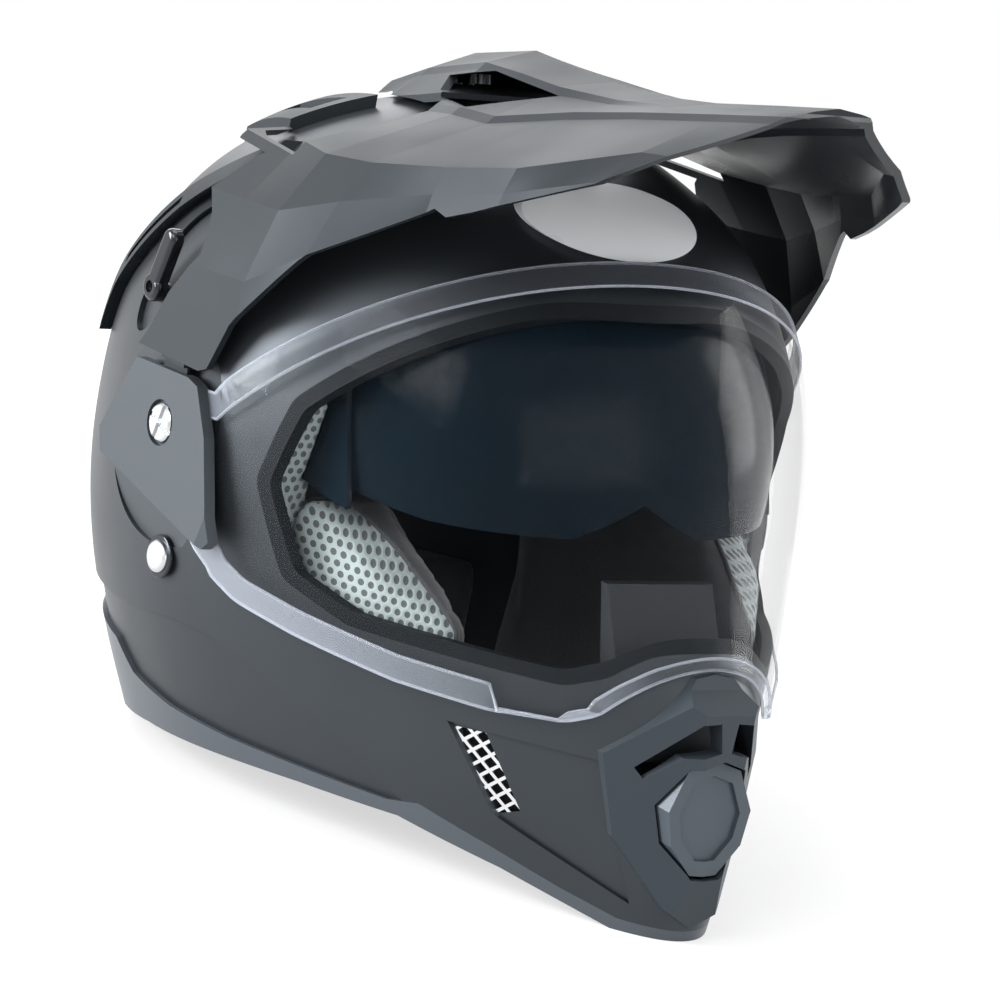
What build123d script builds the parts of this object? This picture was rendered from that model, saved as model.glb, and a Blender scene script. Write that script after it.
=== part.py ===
from build123d import *
import math
import os

os.makedirs("parts", exist_ok=True)

# Dual sport helmet. It stands on its rim, as on a table: +Z is up and the face looks towards -Y.
# The origin is under the middle of the helmet, on the surface that it stands on.

# Shell, the driving sizes
shell_height = 262.0
shell_half_width = 127.0
front_reach = 195.0
rear_reach = 148.0
crown_y = 25.5
shell_wall = 4.8
pressed_depth = 2.2
overrun = 30.0

# Face shield and its pivots
pivot_forward_share = -0.0077
pivot_height_share = 0.5115
shield_gap = 2.4
shield_wall = 2.2
side_flat_x = 123.6
shield_arm_gap = 0.4
pivot_disc_radius = 10.7
moving_gap = 0.3
running_gap = 0.2
recess_radius = 46.0
port_round = 9.0
shield_arm_radius = 17.0

# Side covers, their screws and the strap rivets
cover_wall = 4.6
cover_gap = 2.2
screw_shank_radius = 2.9
screw_head_radius = 7.2
screw_seat_radius = 8.6
screw_seat_depth = 1.9
screw_head_height = 2.3
screw_cross_width = 2.0
nut_wall = 3.6
nut_radius = 6.0
rivet_height_share = 0.3225
rivet_forward_share = 0.025
rivet_washer_radius = 8.2
rivet_head_radius = 6.2
rivet_shank_radius = 2.5
washer_thickness = 1.4
rivet_head_height = 1.9
rivet_round_share = 0.9
spot_face_x = 124.4

# Peak
peak_half_width = 131.4
peak_height = 306.0
peak_wall = 2.6
peak_tab_gap = 0.7
peak_tilt_gap = 3.4
peak_tab_wall = 1.4
peak_tab_radius = 12.5
joggle_gap = 2.0
joggle_height = 6.0
peak_foot_share = 0.42
peak_shoulder_share = 0.054
peak_shoulder_height_share = 0.784
peak_tab_neck = 16.0
scoop_half_width = 36.0
window_inner_x = 16.0

# Thumb screw on the crown
thumb_angle = 77.5
thumb_seat_radius = 129.6
thumb_tab_wall = 2.2
thumb_shank_radius = 3.0
thumb_head_radius = 9.6
thumb_head_height = 3.7
thumb_lobe_radius = 3.0
thumb_lobe_count = 6
insert_radius = 5.2
insert_flange_radius = 8.4
thumb_shank_length = 14.0
tab_start = 70.0
tab_end = 92.0
peak_tilt = 5.0

# Sun visor and its lever
sun_pivot_forward_share = 0.118
sun_pivot_height_share = 0.5267
sun_radius = 101.5
sun_half_width = 101.0
sun_power = 2.5
sun_arm_step = 3.2
sun_steps = 8
sun_low_angle = -7.5
sun_high_angle = 47.0
sun_wall = 2.2
sun_arm_radius = 8.0
sun_arm_room = 24.0
sun_pin_radius = 3.2
sun_boss_radius = 7.0
sun_slot_gap = 1.2
slot_low_angle = -28.0
slot_high_angle = 112.0
lever_forward_share = -0.179
lever_height_share = 0.676
lever_length = 21.0
lever_width = 8.0
lever_wall = 5.0
lever_hub_radius = 5.6
lever_face_x = 119.2
lever_pin_radius = 2.0
lever_pin_foot_x = 112.0
lever_tilt = 18.0

# Liners
cavity_half_width = 92.0
cavity_half_length = 113.0
cavity_height = 106.0
cavity_forward_share = -0.036
cavity_base_share = 0.458
liner_gap = 0.3
pad_gap = 1.2
crown_pad_wall = 8.5
cheek_round = 6.0
neck_wall = 15.0
guard_nose_half_width = 24.0

# Chin
mesh_wall = 0.9
mesh_bar = 1.1
mesh_pitch = 4.2
mesh_turn = 45.0
mesh_count = 12

# Chin strap
strap_width = 22.0
strap_wall = 1.8
strap_height = 11.0
strap_clearance = 2.0
strap_bend = 6.0
strap_top_x = 115.1
strap_knee_x = 101.0
strap_knee_z = 34.0
strap_low_x = 92.0
strap_low_z = 14.5
strap_flat_x = 64.0
strap_end_x = 24.0
strap_pad_wall = 4.0
strap_pad_near_x = 30.0
strap_pad_far_x = 60.0
buckle_width = 26.0
buckle_wall = 1.8
buckle_front_x = -18.0
buckle_rear_x = 34.0
buckle_side_height = 12.0
buckle_pin_radius = 1.6
buckle_eye = 3.0
hinge_x = -10.0
tongue_wall = 2.2
tongue_tooth = 1.2
tongue_teeth = 6
tongue_root_x = -20.0
tongue_tip_x = 4.0

# Brow plate
brow_half_width = 39.0
brow_half_height = 10.5
brow_height_share = 0.9008

# Chin vent surround, seen from the front
surround_half_width = 35.0
surround_height = 97.0
surround_front = 174.0
button_hole_scale = 1.06
button_dish_scale = 0.74

pivot_y = crown_y - pivot_forward_share * front_reach
pivot_z = pivot_height_share * shell_height
sun_y = crown_y - sun_pivot_forward_share * front_reach
sun_z = sun_pivot_height_share * shell_height
rivet_y = crown_y - rivet_forward_share * front_reach
rivet_z = rivet_height_share * shell_height

# Horizontal sections of the shell from the rim to the crown, as shares of the driving sizes:
# height, half width, reach forward, reach back, and how square each end is. The rows below the
# rim only steady the surface, and are cut away.
shell_section_shares = (
    (-0.150, 0.680, 0.985, 0.550, 1.42, 2.1),
    (-0.090, 0.725, 0.990, 0.610, 1.42, 2.1),
    (-0.031, 0.764, 0.995, 0.669, 1.42, 2.1),
    (0.1145, 0.874, 1.005, 0.824, 1.42, 2.1),
    (0.229, 0.945, 0.990, 0.919, 1.42, 2.1),
    (0.324, 0.984, 0.959, 0.966, 1.47, 2.1),
    (0.420, 1.000, 0.882, 0.993, 1.60, 2.1),
    (0.515, 1.000, 0.805, 0.993, 1.75, 2.1),
    (0.611, 0.988, 0.723, 0.966, 1.90, 2.1),
    (0.706, 0.941, 0.636, 0.905, 2.00, 2.1),
    (0.790, 0.858, 0.549, 0.818, 2.05, 2.1),
    (0.859, 0.740, 0.4615, 0.703, 2.1, 2.1),
    (0.916, 0.583, 0.349, 0.554, 2.1, 2.1),
    (0.962, 0.394, 0.220, 0.365, 2.1, 2.1),
    (0.9885, 0.213, 0.100, 0.162, 2.0, 2.0),
)
widest_height_share = 0.42
quarter_steps = 4

# Side outlines as pairs of shares: forward of the crown line over front_reach, height over shell_height
port_shares = ((0.241, 0.485), (0.287, 0.611), (0.508, 0.809), (1.374, 0.809), (1.374, 0.397),
               (0.892, 0.393), (0.851, 0.344), (0.8, 0.321), (0.451, 0.323), (0.318, 0.359))
port_inner_shares = ((0.27, 0.487), (0.313, 0.601), (0.522, 0.788), (1.374, 0.788), (1.374, 0.418),
                     (0.885, 0.414), (0.84, 0.366), (0.793, 0.342), (0.462, 0.344), (0.342, 0.376))
seam_shares = ((-0.9, 0.16), (-0.195, 0.149), (-0.113, 0.115), (0.026, 0.099), (0.19, 0.092),
               (0.533, 0.09), (0.595, 0.099), (0.723, 0.069), (0.836, 0.038), (0.928, 0.017),
               (1.15, 0.011))
rim_shares = ((0.918, 0.0), (0.738, 0.042), (0.554, 0.071), (0.344, 0.067), (-0.072, 0.05),
              (-0.236, 0.034), (-0.379, 0.0))
crease_shares = ((-0.9, 0.191), (-0.169, 0.218), (0.072, 0.24), (0.154, 0.237), (0.251, 0.214),
                 (0.349, 0.183), (0.482, 0.13), (0.564, 0.095))
chin_facet_shares = ((0.636, 0.231), (0.882, 0.231), (0.944, 0.042), (0.728, 0.115))
mesh_shares = ((0.641, 0.225), (0.692, 0.227), (0.759, 0.13), (0.723, 0.118))
cover_shares = ((-0.123, 0.584), (0.062, 0.592), (0.097, 0.586), (0.149, 0.523), (0.19, 0.435),
                (0.21, 0.385), (0.195, 0.372), (-0.195, 0.429), (-0.213, 0.462))
shield_shares = ((0.123, 0.584), (0.554, 0.908), (1.4, 0.908), (1.4, 0.376), (0.933, 0.376),
                 (0.918, 0.359), (0.862, 0.294), (0.82, 0.275), (0.723, 0.267), (0.559, 0.271),
                 (0.369, 0.29), (0.241, 0.309), (0.185, 0.332))
shield_arm_shares = ((0.125, 0.582), (-0.0077, 0.576), (-0.0077, 0.447), (0.19, 0.335))
peak_side_shares = ((-0.128, 0.603), (-0.108, 0.626), (-0.067, 0.691), (-0.021, 0.737),
                    (-0.005, 0.756), (-0.015, 0.782), (-0.046, 0.813), (-0.092, 0.84),
                    (-0.05, 0.893), (-0.034, 0.903), (-0.32, 0.903), (-0.32, 1.221),
                    (1.1, 1.221), (0.944, 1.149), (0.779, 1.017), (0.569, 0.935), (0.513, 0.916),
                    (0.482, 0.922), (0.297, 0.817), (0.282, 0.805), (0.154, 0.687),
                    (0.113, 0.615), (0.087, 0.607))
scoop_window_shares = ((-0.041, 1.031), (0.092, 1.061), (0.323, 1.065), (0.169, 1.015),
                       (0.02, 1.006))
pocket_half_length = 27.5
pocket_half_width = 12.0
lever_pocket_centre_shares = (-0.176, 0.706)

# Sections of the peak from its front edge to its rear mouth. Each is a forward share, then the
# half outline as shares of the peak's half width and height.
peak_section_shares = (
    (0.964, ((0, 1.0), (0.08, 0.995), (0.11, 0.992), (0.14, 0.987), (0.165, 0.978),
             (0.35, 0.928), (0.457, 0.886), (0.487, 0.859), (0.502, 0.817))),
    (0.790, ((0, 0.977), (0.091, 0.971), (0.13, 0.967), (0.183, 0.962), (0.21, 0.953),
             (0.426, 0.912), (0.533, 0.876), (0.563, 0.853), (0.586, 0.784))),
    (0.615, ((0, 0.953), (0.122, 0.946), (0.167, 0.943), (0.244, 0.936), (0.27, 0.927),
             (0.624, 0.861), (0.654, 0.83), (0.67, 0.804), (0.693, 0.735))),
    (0.467, ((0, 0.938), (0.167, 0.930), (0.19, 0.924), (0.304, 0.912), (0.33, 0.902),
             (0.693, 0.837), (0.723, 0.804), (0.738, 0.771), (0.769, 0.703))),
    (0.297, ((0, 0.930), (0.183, 0.920), (0.205, 0.910), (0.381, 0.879), (0.405, 0.869),
             (0.761, 0.814), (0.845, 0.765), (0.921, 0.699), (0.974, 0.621))),
    (0.169, ((0, 0.930), (0.175, 0.917), (0.198, 0.907), (0.365, 0.871), (0.39, 0.861),
             (0.784, 0.804), (0.906, 0.732), (0.978, 0.644), (1.0, 0.49))),
    (0.041, ((0, 0.931), (0.167, 0.912), (0.19, 0.902), (0.32, 0.856), (0.345, 0.847),
             (0.738, 0.801), (0.89, 0.725), (0.978, 0.637), (1.0, 0.49))),
    (-0.154, ((0, 0.899), (0.152, 0.876), (0.175, 0.866), (0.274, 0.837), (0.3, 0.828),
              (0.723, 0.788), (0.875, 0.716), (0.978, 0.621), (1.0, 0.49))),
    (-0.313, ((0, 0.848), (0.107, 0.837), (0.13, 0.828), (0.198, 0.797), (0.225, 0.784),
              (0.685, 0.719), (0.837, 0.654), (0.913, 0.556), (1.0, 0.49))),
)

# Chin vent outlines, as shares of the surround's half width and height, seen from the front
surround_shares = ((0, 1.0), (0.25, 0.985), (1.0, 0.66), (0.82, 0.36), (0.36, 0.13), (0, 0.055))
button_shares = ((0, 0.70), (0.34, 0.66), (0.53, 0.51), (0.45, 0.38), (0.17, 0.27), (0, 0.265))
chin_slot_shares = ((0.06, 0.745), (0.11, 0.855), (0.32, 0.85), (0.76, 0.635), (0.68, 0.60),
                    (0.42, 0.71))
chin_hole_shares = ((0, 0.88), (0.34, 0.86), (0.78, 0.62), (0.6, 0.33), (0.24, 0.2), (0, 0.2))
chin_deep_share = 0.5

# The surround in plan, and from the side
surround_plan_shares = ((0, 1.0205), (0.23, 1.0205), (1.03, 0.8745), (1.03, 0.7), (0, 0.7))
surround_side_shares = ((0.933, 0.374), (0.949, 0.351), (1.005, 0.328), (1.018, 0.24),
                        (1.022, 0.076), (1.005, 0.019), (0.85, 0.0), (0.7, 0.374))
button_side_shares = ((0.985, 0.27), (1.014, 0.09), (0.95, 0.09), (0.93, 0.27))
button_dish_side_shares = ((1.1, 0.28), (0.976, 0.28), (1.006, 0.08), (1.1, 0.08))

# Sun visor: what its side view and front view keep, and its arm
sun_side_shares = ((0.246, 0.6), (0.344, 0.4795), (1.4, 0.4795), (1.4, 1.1), (0.0, 1.1))
sun_front_shares = ((0, 1.465), (0.34, 1.40), (0.8, 1.325), (3.2, 1.315), (3.2, 2.8), (0, 2.8))
sun_arm_shares = ((0.118, 0.555), (0.246, 0.6), (0.33, 0.64), (0.40, 0.4795), (0.344, 0.4795),
                  (0.118, 0.497))

# Liner outlines: pairs of half width and forward shares in plan, or forward and height shares
face_shares = ((-0.01, 0.851), (0.315, 0.769), (0.59, 0.58), (0.735, 0.456), (0.815, 0.349),
               (0.822, 0.246), (0.735, 0.215), (0.728, -0.01), (-0.01, -0.01))
face_top_share = 0.5
foam_rise_share = 0.034
chin_foam_share = 0.4
chin_foam_height_share = 0.229
button_room_share = 0.905
crown_pad_share = 0.5
crown_face_share = 0.3
crown_face_height_share = 0.68
cheek_shares = ((0.465, 0.374), (0.470, 0.590), (0.550, 0.612), (0.709, 0.461), (0.795, 0.256),
                (0.70, 0.215), (0.70, -0.10), (0.630, -0.185), (0.488, -0.164), (0.449, 0.092))
cheek_slope_shares = ((0.66, 0.33), (0.62, 0.345), (0.285, 0.468), (0.285, 0.55),
                      (0.66, 0.55))
cheek_low_share = 0.069
cheek_high_share = 0.465
cheek_level_shares = ((0, 0.84), (0.06, 0.94), (0.16, 1.0), (0.84, 1.0), (0.94, 0.95), (1, 0.86))
neck_low_share = 0.06
neck_high_share = 0.23
neck_cut_share = 2.0
guard_side_shares = ((0.6, 0.238), (1.0, 0.238), (1.0, 0.385), (0.86, 0.37), (0.76, 0.325),
                     (0.6, 0.325))
guard_inner_shares = ((-0.01, 0.875), (0.17, 0.86), (0.40, 0.77), (0.80, 0.53), (0.80, -0.01),
                      (-0.01, -0.01))
guard_nose_shares = ((0.913, 0.328), (0.80, 0.351), (0.728, 0.45), (0.708, 0.45), (0.759, 0.321),
                     (0.85, 0.29))

# Vents on the skin, and the slot in each
rear_vent_shares = ((-0.513, 0.573), (-0.462, 0.656), (-0.277, 0.809), (-0.123, 0.908),
                    (-0.103, 0.885), (-0.246, 0.782), (-0.421, 0.634), (-0.462, 0.557))
rear_slot_shares = ((-0.41, 0.68), (-0.27, 0.795), (-0.262, 0.785), (-0.402, 0.668))
crown_vent_shares = ((0.345, -0.133), (0.551, -0.215), (0.488, -0.421), (0.40, -0.482),
                     (0.335, -0.369))
crown_slot_shares = ((0.39, -0.19), (0.48, -0.225), (0.44, -0.38), (0.385, -0.35))


def place(shares):
    """Side-view points, (y, z), from shares of the shell's front reach and height."""
    return [(crown_y - forward * front_reach, up * shell_height) for forward, up in shares]


def side_prism(shares, inner=0.0, outer=shell_half_width + overrun, rounding=0.0, grow=0.0):
    """A prism along X with a side outline. It runs from inner to outer on both sides."""
    with BuildPart() as prism:
        with BuildSketch(Plane.YZ.offset(inner)):
            with BuildLine():
                Polyline(*place(shares), close=True)
            make_face()
            if rounding:
                fillet(vertices(), rounding)
            if grow:
                offset(amount=grow)
        extrude(amount=outer - inner)
        mirror(about=Plane.YZ)
    return prism.part


def half_section(row, inset):
    """Left half of one horizontal section of the shell, drawn inwards by inset."""
    up, width, forward, back, front_power, rear_power = row
    lift = max(0.0, (up - widest_height_share) / (1 - widest_height_share))
    side = inset * math.sqrt(1 - lift * lift)
    half = shell_half_width * width - side
    front = front_reach * forward - side
    rear = rear_reach * back - side
    points = []
    for step in range(quarter_steps + 1):
        turn = math.pi / 2 * step / quarter_steps
        points.append((half * math.sin(turn) ** (2 / front_power),
                       crown_y - front * max(math.cos(turn), 0) ** (2 / front_power)))
    for step in range(1, quarter_steps + 1):
        turn = math.pi / 2 * step / quarter_steps
        points.append((half * max(math.cos(turn), 0) ** (2 / rear_power),
                       crown_y + rear * math.sin(turn) ** (2 / rear_power)))
    points[-1] = (0, points[-1][1])
    with BuildSketch(Plane.XY.offset(up * shell_height - inset * lift)) as section:
        with BuildLine():
            edge = Spline(*points, tangents=[(1, 0), (-1, 0)], tangent_scalars=(1, 1))
            Line(edge @ 1, edge @ 0)
        make_face()
    return section.sketch


def helmet_form(inset):
    """The whole outer form of the shell as a solid, drawn inwards by inset."""
    sections = [half_section(row, inset) for row in shell_section_shares]
    with BuildPart() as form:
        loft(sections + [Vertex(0, crown_y, shell_height - inset)])
        mirror(about=Plane.YZ)
    return form.part


def slab(low, high):
    """A block between two corners."""
    centre = [(a + b) / 2 for a, b in zip(low, high)]
    size = [b - a for a, b in zip(low, high)]
    with BuildPart() as block:
        with Locations(tuple(centre)):
            Box(*size)
    return block.part


def x_cylinder(radius, low, high, y, z):
    """A cylinder along X between two x values."""
    with BuildPart() as rod:
        with BuildSketch(Plane.YZ.offset(low)):
            with Locations((y, z)):
                Circle(radius)
        extrude(amount=high - low)
    return rod.part


def finish(piece, name):
    """Label a piece and write its STEP file."""
    piece.part.label = name
    export_step(piece.part, f"parts/{name}.step")


def both_sides(piece, name):
    """Write a piece made on the wearer's left, +X, and its mirror image on the right."""
    finish(piece, f"{name}_left")
    with BuildPart() as other:
        add(piece.part)
        mirror(about=Plane.YZ, mode=Mode.REPLACE)
    finish(other, f"{name}_right")


def front_prism(shares, near, deep, scale=1.0):
    """A prism along Y with a front outline given for the left half, from y near to y deep."""
    heights = [z for x, z in shares]
    middle = (min(heights) + max(heights)) / 2
    points = [(x * surround_half_width * scale, (middle + (z - middle) * scale) * surround_height)
              for x, z in shares]
    with BuildPart() as prism:
        with BuildSketch(Plane.XZ.offset(-deep)):
            with BuildLine():
                Polyline(*points, close=True)
            make_face()
            mirror(about=Plane.YZ)
        extrude(amount=deep - near)
    return prism.part


def plan_prism(shares, low, high, rounding=0.0):
    """A prism along Z. Its plan is on the left side: half width share, then forward share."""
    points = [(x * shell_half_width, crown_y - forward * front_reach) for x, forward in shares]
    with BuildPart() as prism:
        with BuildSketch(Plane.XY.offset(low)):
            with BuildLine():
                Polyline(*points, close=True)
            make_face()
            if rounding:
                fillet(vertices(), rounding)
        extrude(amount=high - low)
    return prism.part


def side_plate(points, near, deep):
    """A plate with a side outline of (y, z) points, between two x values."""
    with BuildPart() as plate:
        with BuildSketch(Plane.YZ.offset(near)):
            with BuildLine():
                Polyline(*points, close=True)
            make_face()
        extrude(amount=deep - near)
    return plate.part


def both_halves(part):
    """A left-hand solid and its mirror image."""
    with BuildPart() as pair:
        add(part)
        mirror(about=Plane.YZ)
    return pair.part


def crown_plane(radius):
    """The plane square to the thumb screw's axis, at a distance from the pivot line."""
    return Plane(origin=pivot_point + thumb_out * radius, x_dir=(1, 0, 0), z_dir=thumb_out)


def crown_cylinder(radius, low, high):
    """A cylinder on the thumb screw's axis, between two distances from the pivot line."""
    with BuildPart() as rod:
        with BuildSketch(crown_plane(low)):
            Circle(radius)
        extrude(amount=high - low)
    return rod.part


def skin_plate(prism, form):
    """The layer between the skin and a form, inside a prism."""
    with BuildPart() as plate:
        add(form)
        add(prism, mode=Mode.INTERSECT)
        add(skin_form, mode=Mode.SUBTRACT)
    return plate.part


far = 3 * shell_height
skin_form = helmet_form(0.0)
pressed_form = helmet_form(pressed_depth)
mesh_form = helmet_form(pressed_depth + mesh_wall)
inner_form = helmet_form(shell_wall)
foam_form = helmet_form(shell_wall + liner_gap)
pad_limit_form = helmet_form(shell_wall + pad_gap)
shield_inner_form = helmet_form(-shield_gap)
shield_outer_form = helmet_form(-shield_gap - shield_wall)

ground_prism = slab((-far, -far, -far), (far, far, 0))
port_prism = side_prism(port_shares, rounding=port_round)
port_inner_prism = side_prism(port_inner_shares, rounding=port_round)
seam_prism = side_prism(seam_shares + ((1.15, -0.2), (-0.9, -0.2)))
rim_prism = side_prism(rim_shares + ((-0.379, -0.1), (0.918, -0.1)))
mesh_prism = side_prism(mesh_shares)
cover_points = place(cover_shares)
chin_front = -surround_front
chin_deep = crown_y - chin_deep_share * front_reach
chin_hole = front_prism(chin_hole_shares, chin_front - overrun, chin_deep)

# Each side of the shell is flat under its cover, where the shield's arm turns
with BuildPart() as side_recess:
    add(side_plate(cover_points, side_flat_x, far))
    add(x_cylinder(recess_radius, side_flat_x, far, pivot_y, pivot_z))
    mirror(about=Plane.YZ)

# The lever's oval pocket is on the wearer's right side only
pocket_y, pocket_z = place([lever_pocket_centre_shares])[0]
with BuildPart() as lever_pocket:
    with BuildSketch(Plane.YZ.offset(-shell_half_width - overrun)):
        with Locations(Location((pocket_y, pocket_z), lever_tilt)):
            Ellipse(pocket_half_width, pocket_half_length)
    extrude(amount=shell_half_width)

with BuildPart() as pressed_cutter:
    add(side_prism(crease_shares + ((0.564, -0.1), (-0.9, -0.1))))
    add(side_prism(chin_facet_shares))
    add(lever_pocket.part)
    add(pressed_form, mode=Mode.SUBTRACT)

# Shell, with its holes for the screws, rivets, insert and lever pin
inner_x = shell_half_width - shell_wall
screw_bore = screw_shank_radius + running_gap
rivet_bore = rivet_shank_radius + running_gap
rivet_hole = x_cylinder(rivet_bore, -far, far, rivet_y, rivet_z)
spot_face = both_halves(x_cylinder(rivet_washer_radius + running_gap, spot_face_x, far,
                                   rivet_y, rivet_z))
lever_y = crown_y - lever_forward_share * front_reach
lever_z = lever_height_share * shell_height
thumb_turn = math.radians(thumb_angle)
thumb_out = Vector(0, math.cos(thumb_turn), math.sin(thumb_turn))
pivot_point = Vector(0, pivot_y, pivot_z)

with BuildPart() as outer_shell:
    add(skin_form)
    add(inner_form, mode=Mode.SUBTRACT)
    add(ground_prism, mode=Mode.SUBTRACT)
    add(seam_prism, mode=Mode.SUBTRACT)
    add(port_prism, mode=Mode.SUBTRACT)
    add(pressed_cutter.part, mode=Mode.SUBTRACT)
    add(chin_hole, mode=Mode.SUBTRACT)
    add(mesh_prism, mode=Mode.SUBTRACT)
    add(side_recess.part, mode=Mode.SUBTRACT)
    add(x_cylinder(screw_bore, -far, far, pivot_y, pivot_z), mode=Mode.SUBTRACT)
    add(rivet_hole, mode=Mode.SUBTRACT)
    add(spot_face, mode=Mode.SUBTRACT)
    add(x_cylinder(lever_pin_radius, -far, 0, lever_y, lever_z), mode=Mode.SUBTRACT)
    add(crown_cylinder(insert_radius, 0, far), mode=Mode.SUBTRACT)
finish(outer_shell, "outer_shell")

# Satin trim round the rim, below the seam
with BuildPart() as base_trim:
    add(skin_form)
    add(inner_form, mode=Mode.SUBTRACT)
    add(seam_prism, mode=Mode.INTERSECT)
    add(rim_prism, mode=Mode.SUBTRACT)
    add(ground_prism, mode=Mode.SUBTRACT)
finish(base_trim, "base_trim")

# Rubber gasket that lines the eye port
with BuildPart() as eye_port_gasket:
    add(skin_form)
    add(inner_form, mode=Mode.SUBTRACT)
    add(port_prism, mode=Mode.INTERSECT)
    add(port_inner_prism, mode=Mode.SUBTRACT)
finish(eye_port_gasket, "eye_port_gasket")

# Clear face shield, one bent sheet with a flat arm at each side
shield_flat_x = side_flat_x + shield_arm_gap
arm_outer_x = shield_flat_x + shield_wall
with BuildPart() as shield_side:
    add(side_prism(shield_shares))
    add(side_prism(shield_arm_shares))
    add(x_cylinder(shield_arm_radius, -far, far, pivot_y, pivot_z))
with BuildPart() as shield_core:
    add(shield_inner_form)
    add(slab((-shield_flat_x, -far, -far), (shield_flat_x, far, far)), mode=Mode.INTERSECT)
with BuildPart() as face_shield:
    add(shield_outer_form)
    add(shield_side.part, mode=Mode.INTERSECT)
    add(slab((-arm_outer_x, -far, -far), (arm_outer_x, far, far)), mode=Mode.INTERSECT)
    add(shield_core.part, mode=Mode.SUBTRACT)
    add(x_cylinder(pivot_disc_radius + moving_gap, -far, far, pivot_y, pivot_z),
        mode=Mode.SUBTRACT)
finish(face_shield, "face_shield")

# Disc that each shield arm turns on
disc_outer_x = arm_outer_x + shield_arm_gap
with BuildPart() as pivot_disc:
    add(x_cylinder(pivot_disc_radius, side_flat_x, disc_outer_x, pivot_y, pivot_z))
    add(x_cylinder(screw_bore, 0, far, pivot_y, pivot_z), mode=Mode.SUBTRACT)
both_sides(pivot_disc, "pivot_disc")

# Side covers, each with a pocket for the peak's tab and a seat for its screw
cover_outer_x = disc_outer_x + cover_wall
tab_x = disc_outer_x + moving_gap
tab_outer_x = tab_x + peak_tab_wall
tab_pocket_x = tab_outer_x + shield_arm_gap
seat_x = cover_outer_x - screw_seat_depth
with BuildPart() as cover_core:
    with Locations((cover_gap, 0, 0)):
        add(shield_outer_form)
    add(slab((0, -far, -far), (disc_outer_x, far, far)), mode=Mode.INTERSECT)
with BuildPart() as side_cover:
    with Locations((cover_gap + cover_wall, 0, 0)):
        add(shield_outer_form)
    add(side_plate(cover_points, 0, cover_outer_x), mode=Mode.INTERSECT)
    add(cover_core.part, mode=Mode.SUBTRACT)
    add(x_cylinder(peak_tab_radius + peak_tab_gap, 0, tab_pocket_x, pivot_y, pivot_z),
        mode=Mode.SUBTRACT)
    add(slab((0, pivot_y - peak_tab_neck / 2 - peak_tab_gap, pivot_z),
             (tab_pocket_x, pivot_y + peak_tab_neck / 2 + peak_tilt_gap, far)),
        mode=Mode.SUBTRACT)
    add(x_cylinder(screw_bore, 0, far, pivot_y, pivot_z), mode=Mode.SUBTRACT)
    add(x_cylinder(screw_seat_radius, seat_x, far, pivot_y, pivot_z), mode=Mode.SUBTRACT)
both_sides(side_cover, "side_cover")

# Screws through the covers, and their nuts inside the shell
with BuildPart() as cover_screws:
    add(x_cylinder(screw_head_radius, seat_x, seat_x + screw_head_height, pivot_y, pivot_z))
    chamfer(faces().sort_by(Axis.X)[-1].edges(), screw_head_height / 3)
    with BuildSketch(Plane.YZ.offset(seat_x + screw_head_height / 2)):
        with Locations(Location((pivot_y, pivot_z), lever_tilt)):
            Rectangle(2 * screw_head_radius, screw_cross_width)
            Rectangle(screw_cross_width, 2 * screw_head_radius)
    extrude(amount=screw_head_height, mode=Mode.SUBTRACT)
    add(x_cylinder(screw_shank_radius, inner_x - nut_wall, seat_x, pivot_y, pivot_z))
    mirror(about=Plane.YZ)
finish(cover_screws, "cover_screws")

with BuildPart() as cover_nuts:
    with BuildSketch(Plane.YZ.offset(inner_x - nut_wall)):
        with Locations((pivot_y, pivot_z)):
            RegularPolygon(nut_radius, 6)
            Circle(screw_bore, mode=Mode.SUBTRACT)
    extrude(amount=nut_wall - running_gap)
    mirror(about=Plane.YZ)
finish(cover_nuts, "cover_nuts")

# Strap rivets: a dome outside, a shank through the shell and the strap, and a head inside
rivet_seat_x = spot_face_x + washer_thickness
strap_inner_x = strap_top_x - strap_wall / 2
with BuildPart() as strap_rivets:
    add(x_cylinder(rivet_head_radius, rivet_seat_x, rivet_seat_x + rivet_head_height,
                   rivet_y, rivet_z))
    fillet(faces().sort_by(Axis.X)[-1].edges(), rivet_head_height * rivet_round_share)
    add(x_cylinder(rivet_shank_radius, strap_inner_x, rivet_seat_x, rivet_y, rivet_z))
    add(x_cylinder(2 * rivet_shank_radius, strap_inner_x - washer_thickness, strap_inner_x,
                   rivet_y, rivet_z))
    mirror(about=Plane.YZ)
finish(strap_rivets, "strap_rivets")

with BuildPart() as rivet_washers:
    add(x_cylinder(rivet_washer_radius, spot_face_x, rivet_seat_x, rivet_y, rivet_z))
    fillet(faces().sort_by(Axis.X)[-1].edges(), washer_thickness / 2)
    add(rivet_hole, mode=Mode.SUBTRACT)
    mirror(about=Plane.YZ)
finish(rivet_washers, "rivet_washers")


# Peak: a folded sheet, the space between an outer hull and an inner one
def inward(points, distance):
    """An open outline moved inwards by a wall, each corner along its bisector."""
    moved = []
    for index, (x, z) in enumerate(points):
        ends = [(points[a], points[a + 1]) for a in (index - 1, index)
                if 0 <= a < len(points) - 1]
        normals = [((z1 - z0) / math.dist((x0, z0), (x1, z1)),
                    (x0 - x1) / math.dist((x0, z0), (x1, z1))) for (x0, z0), (x1, z1) in ends]
        nx = sum(normal[0] for normal in normals) / len(normals)
        nz = sum(normal[1] for normal in normals) / len(normals)
        reach = distance / (nx * nx + nz * nz)
        moved.append((x + nx * reach, z + nz * reach))
    moved[0] = (0, moved[0][1])
    return moved


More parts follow.
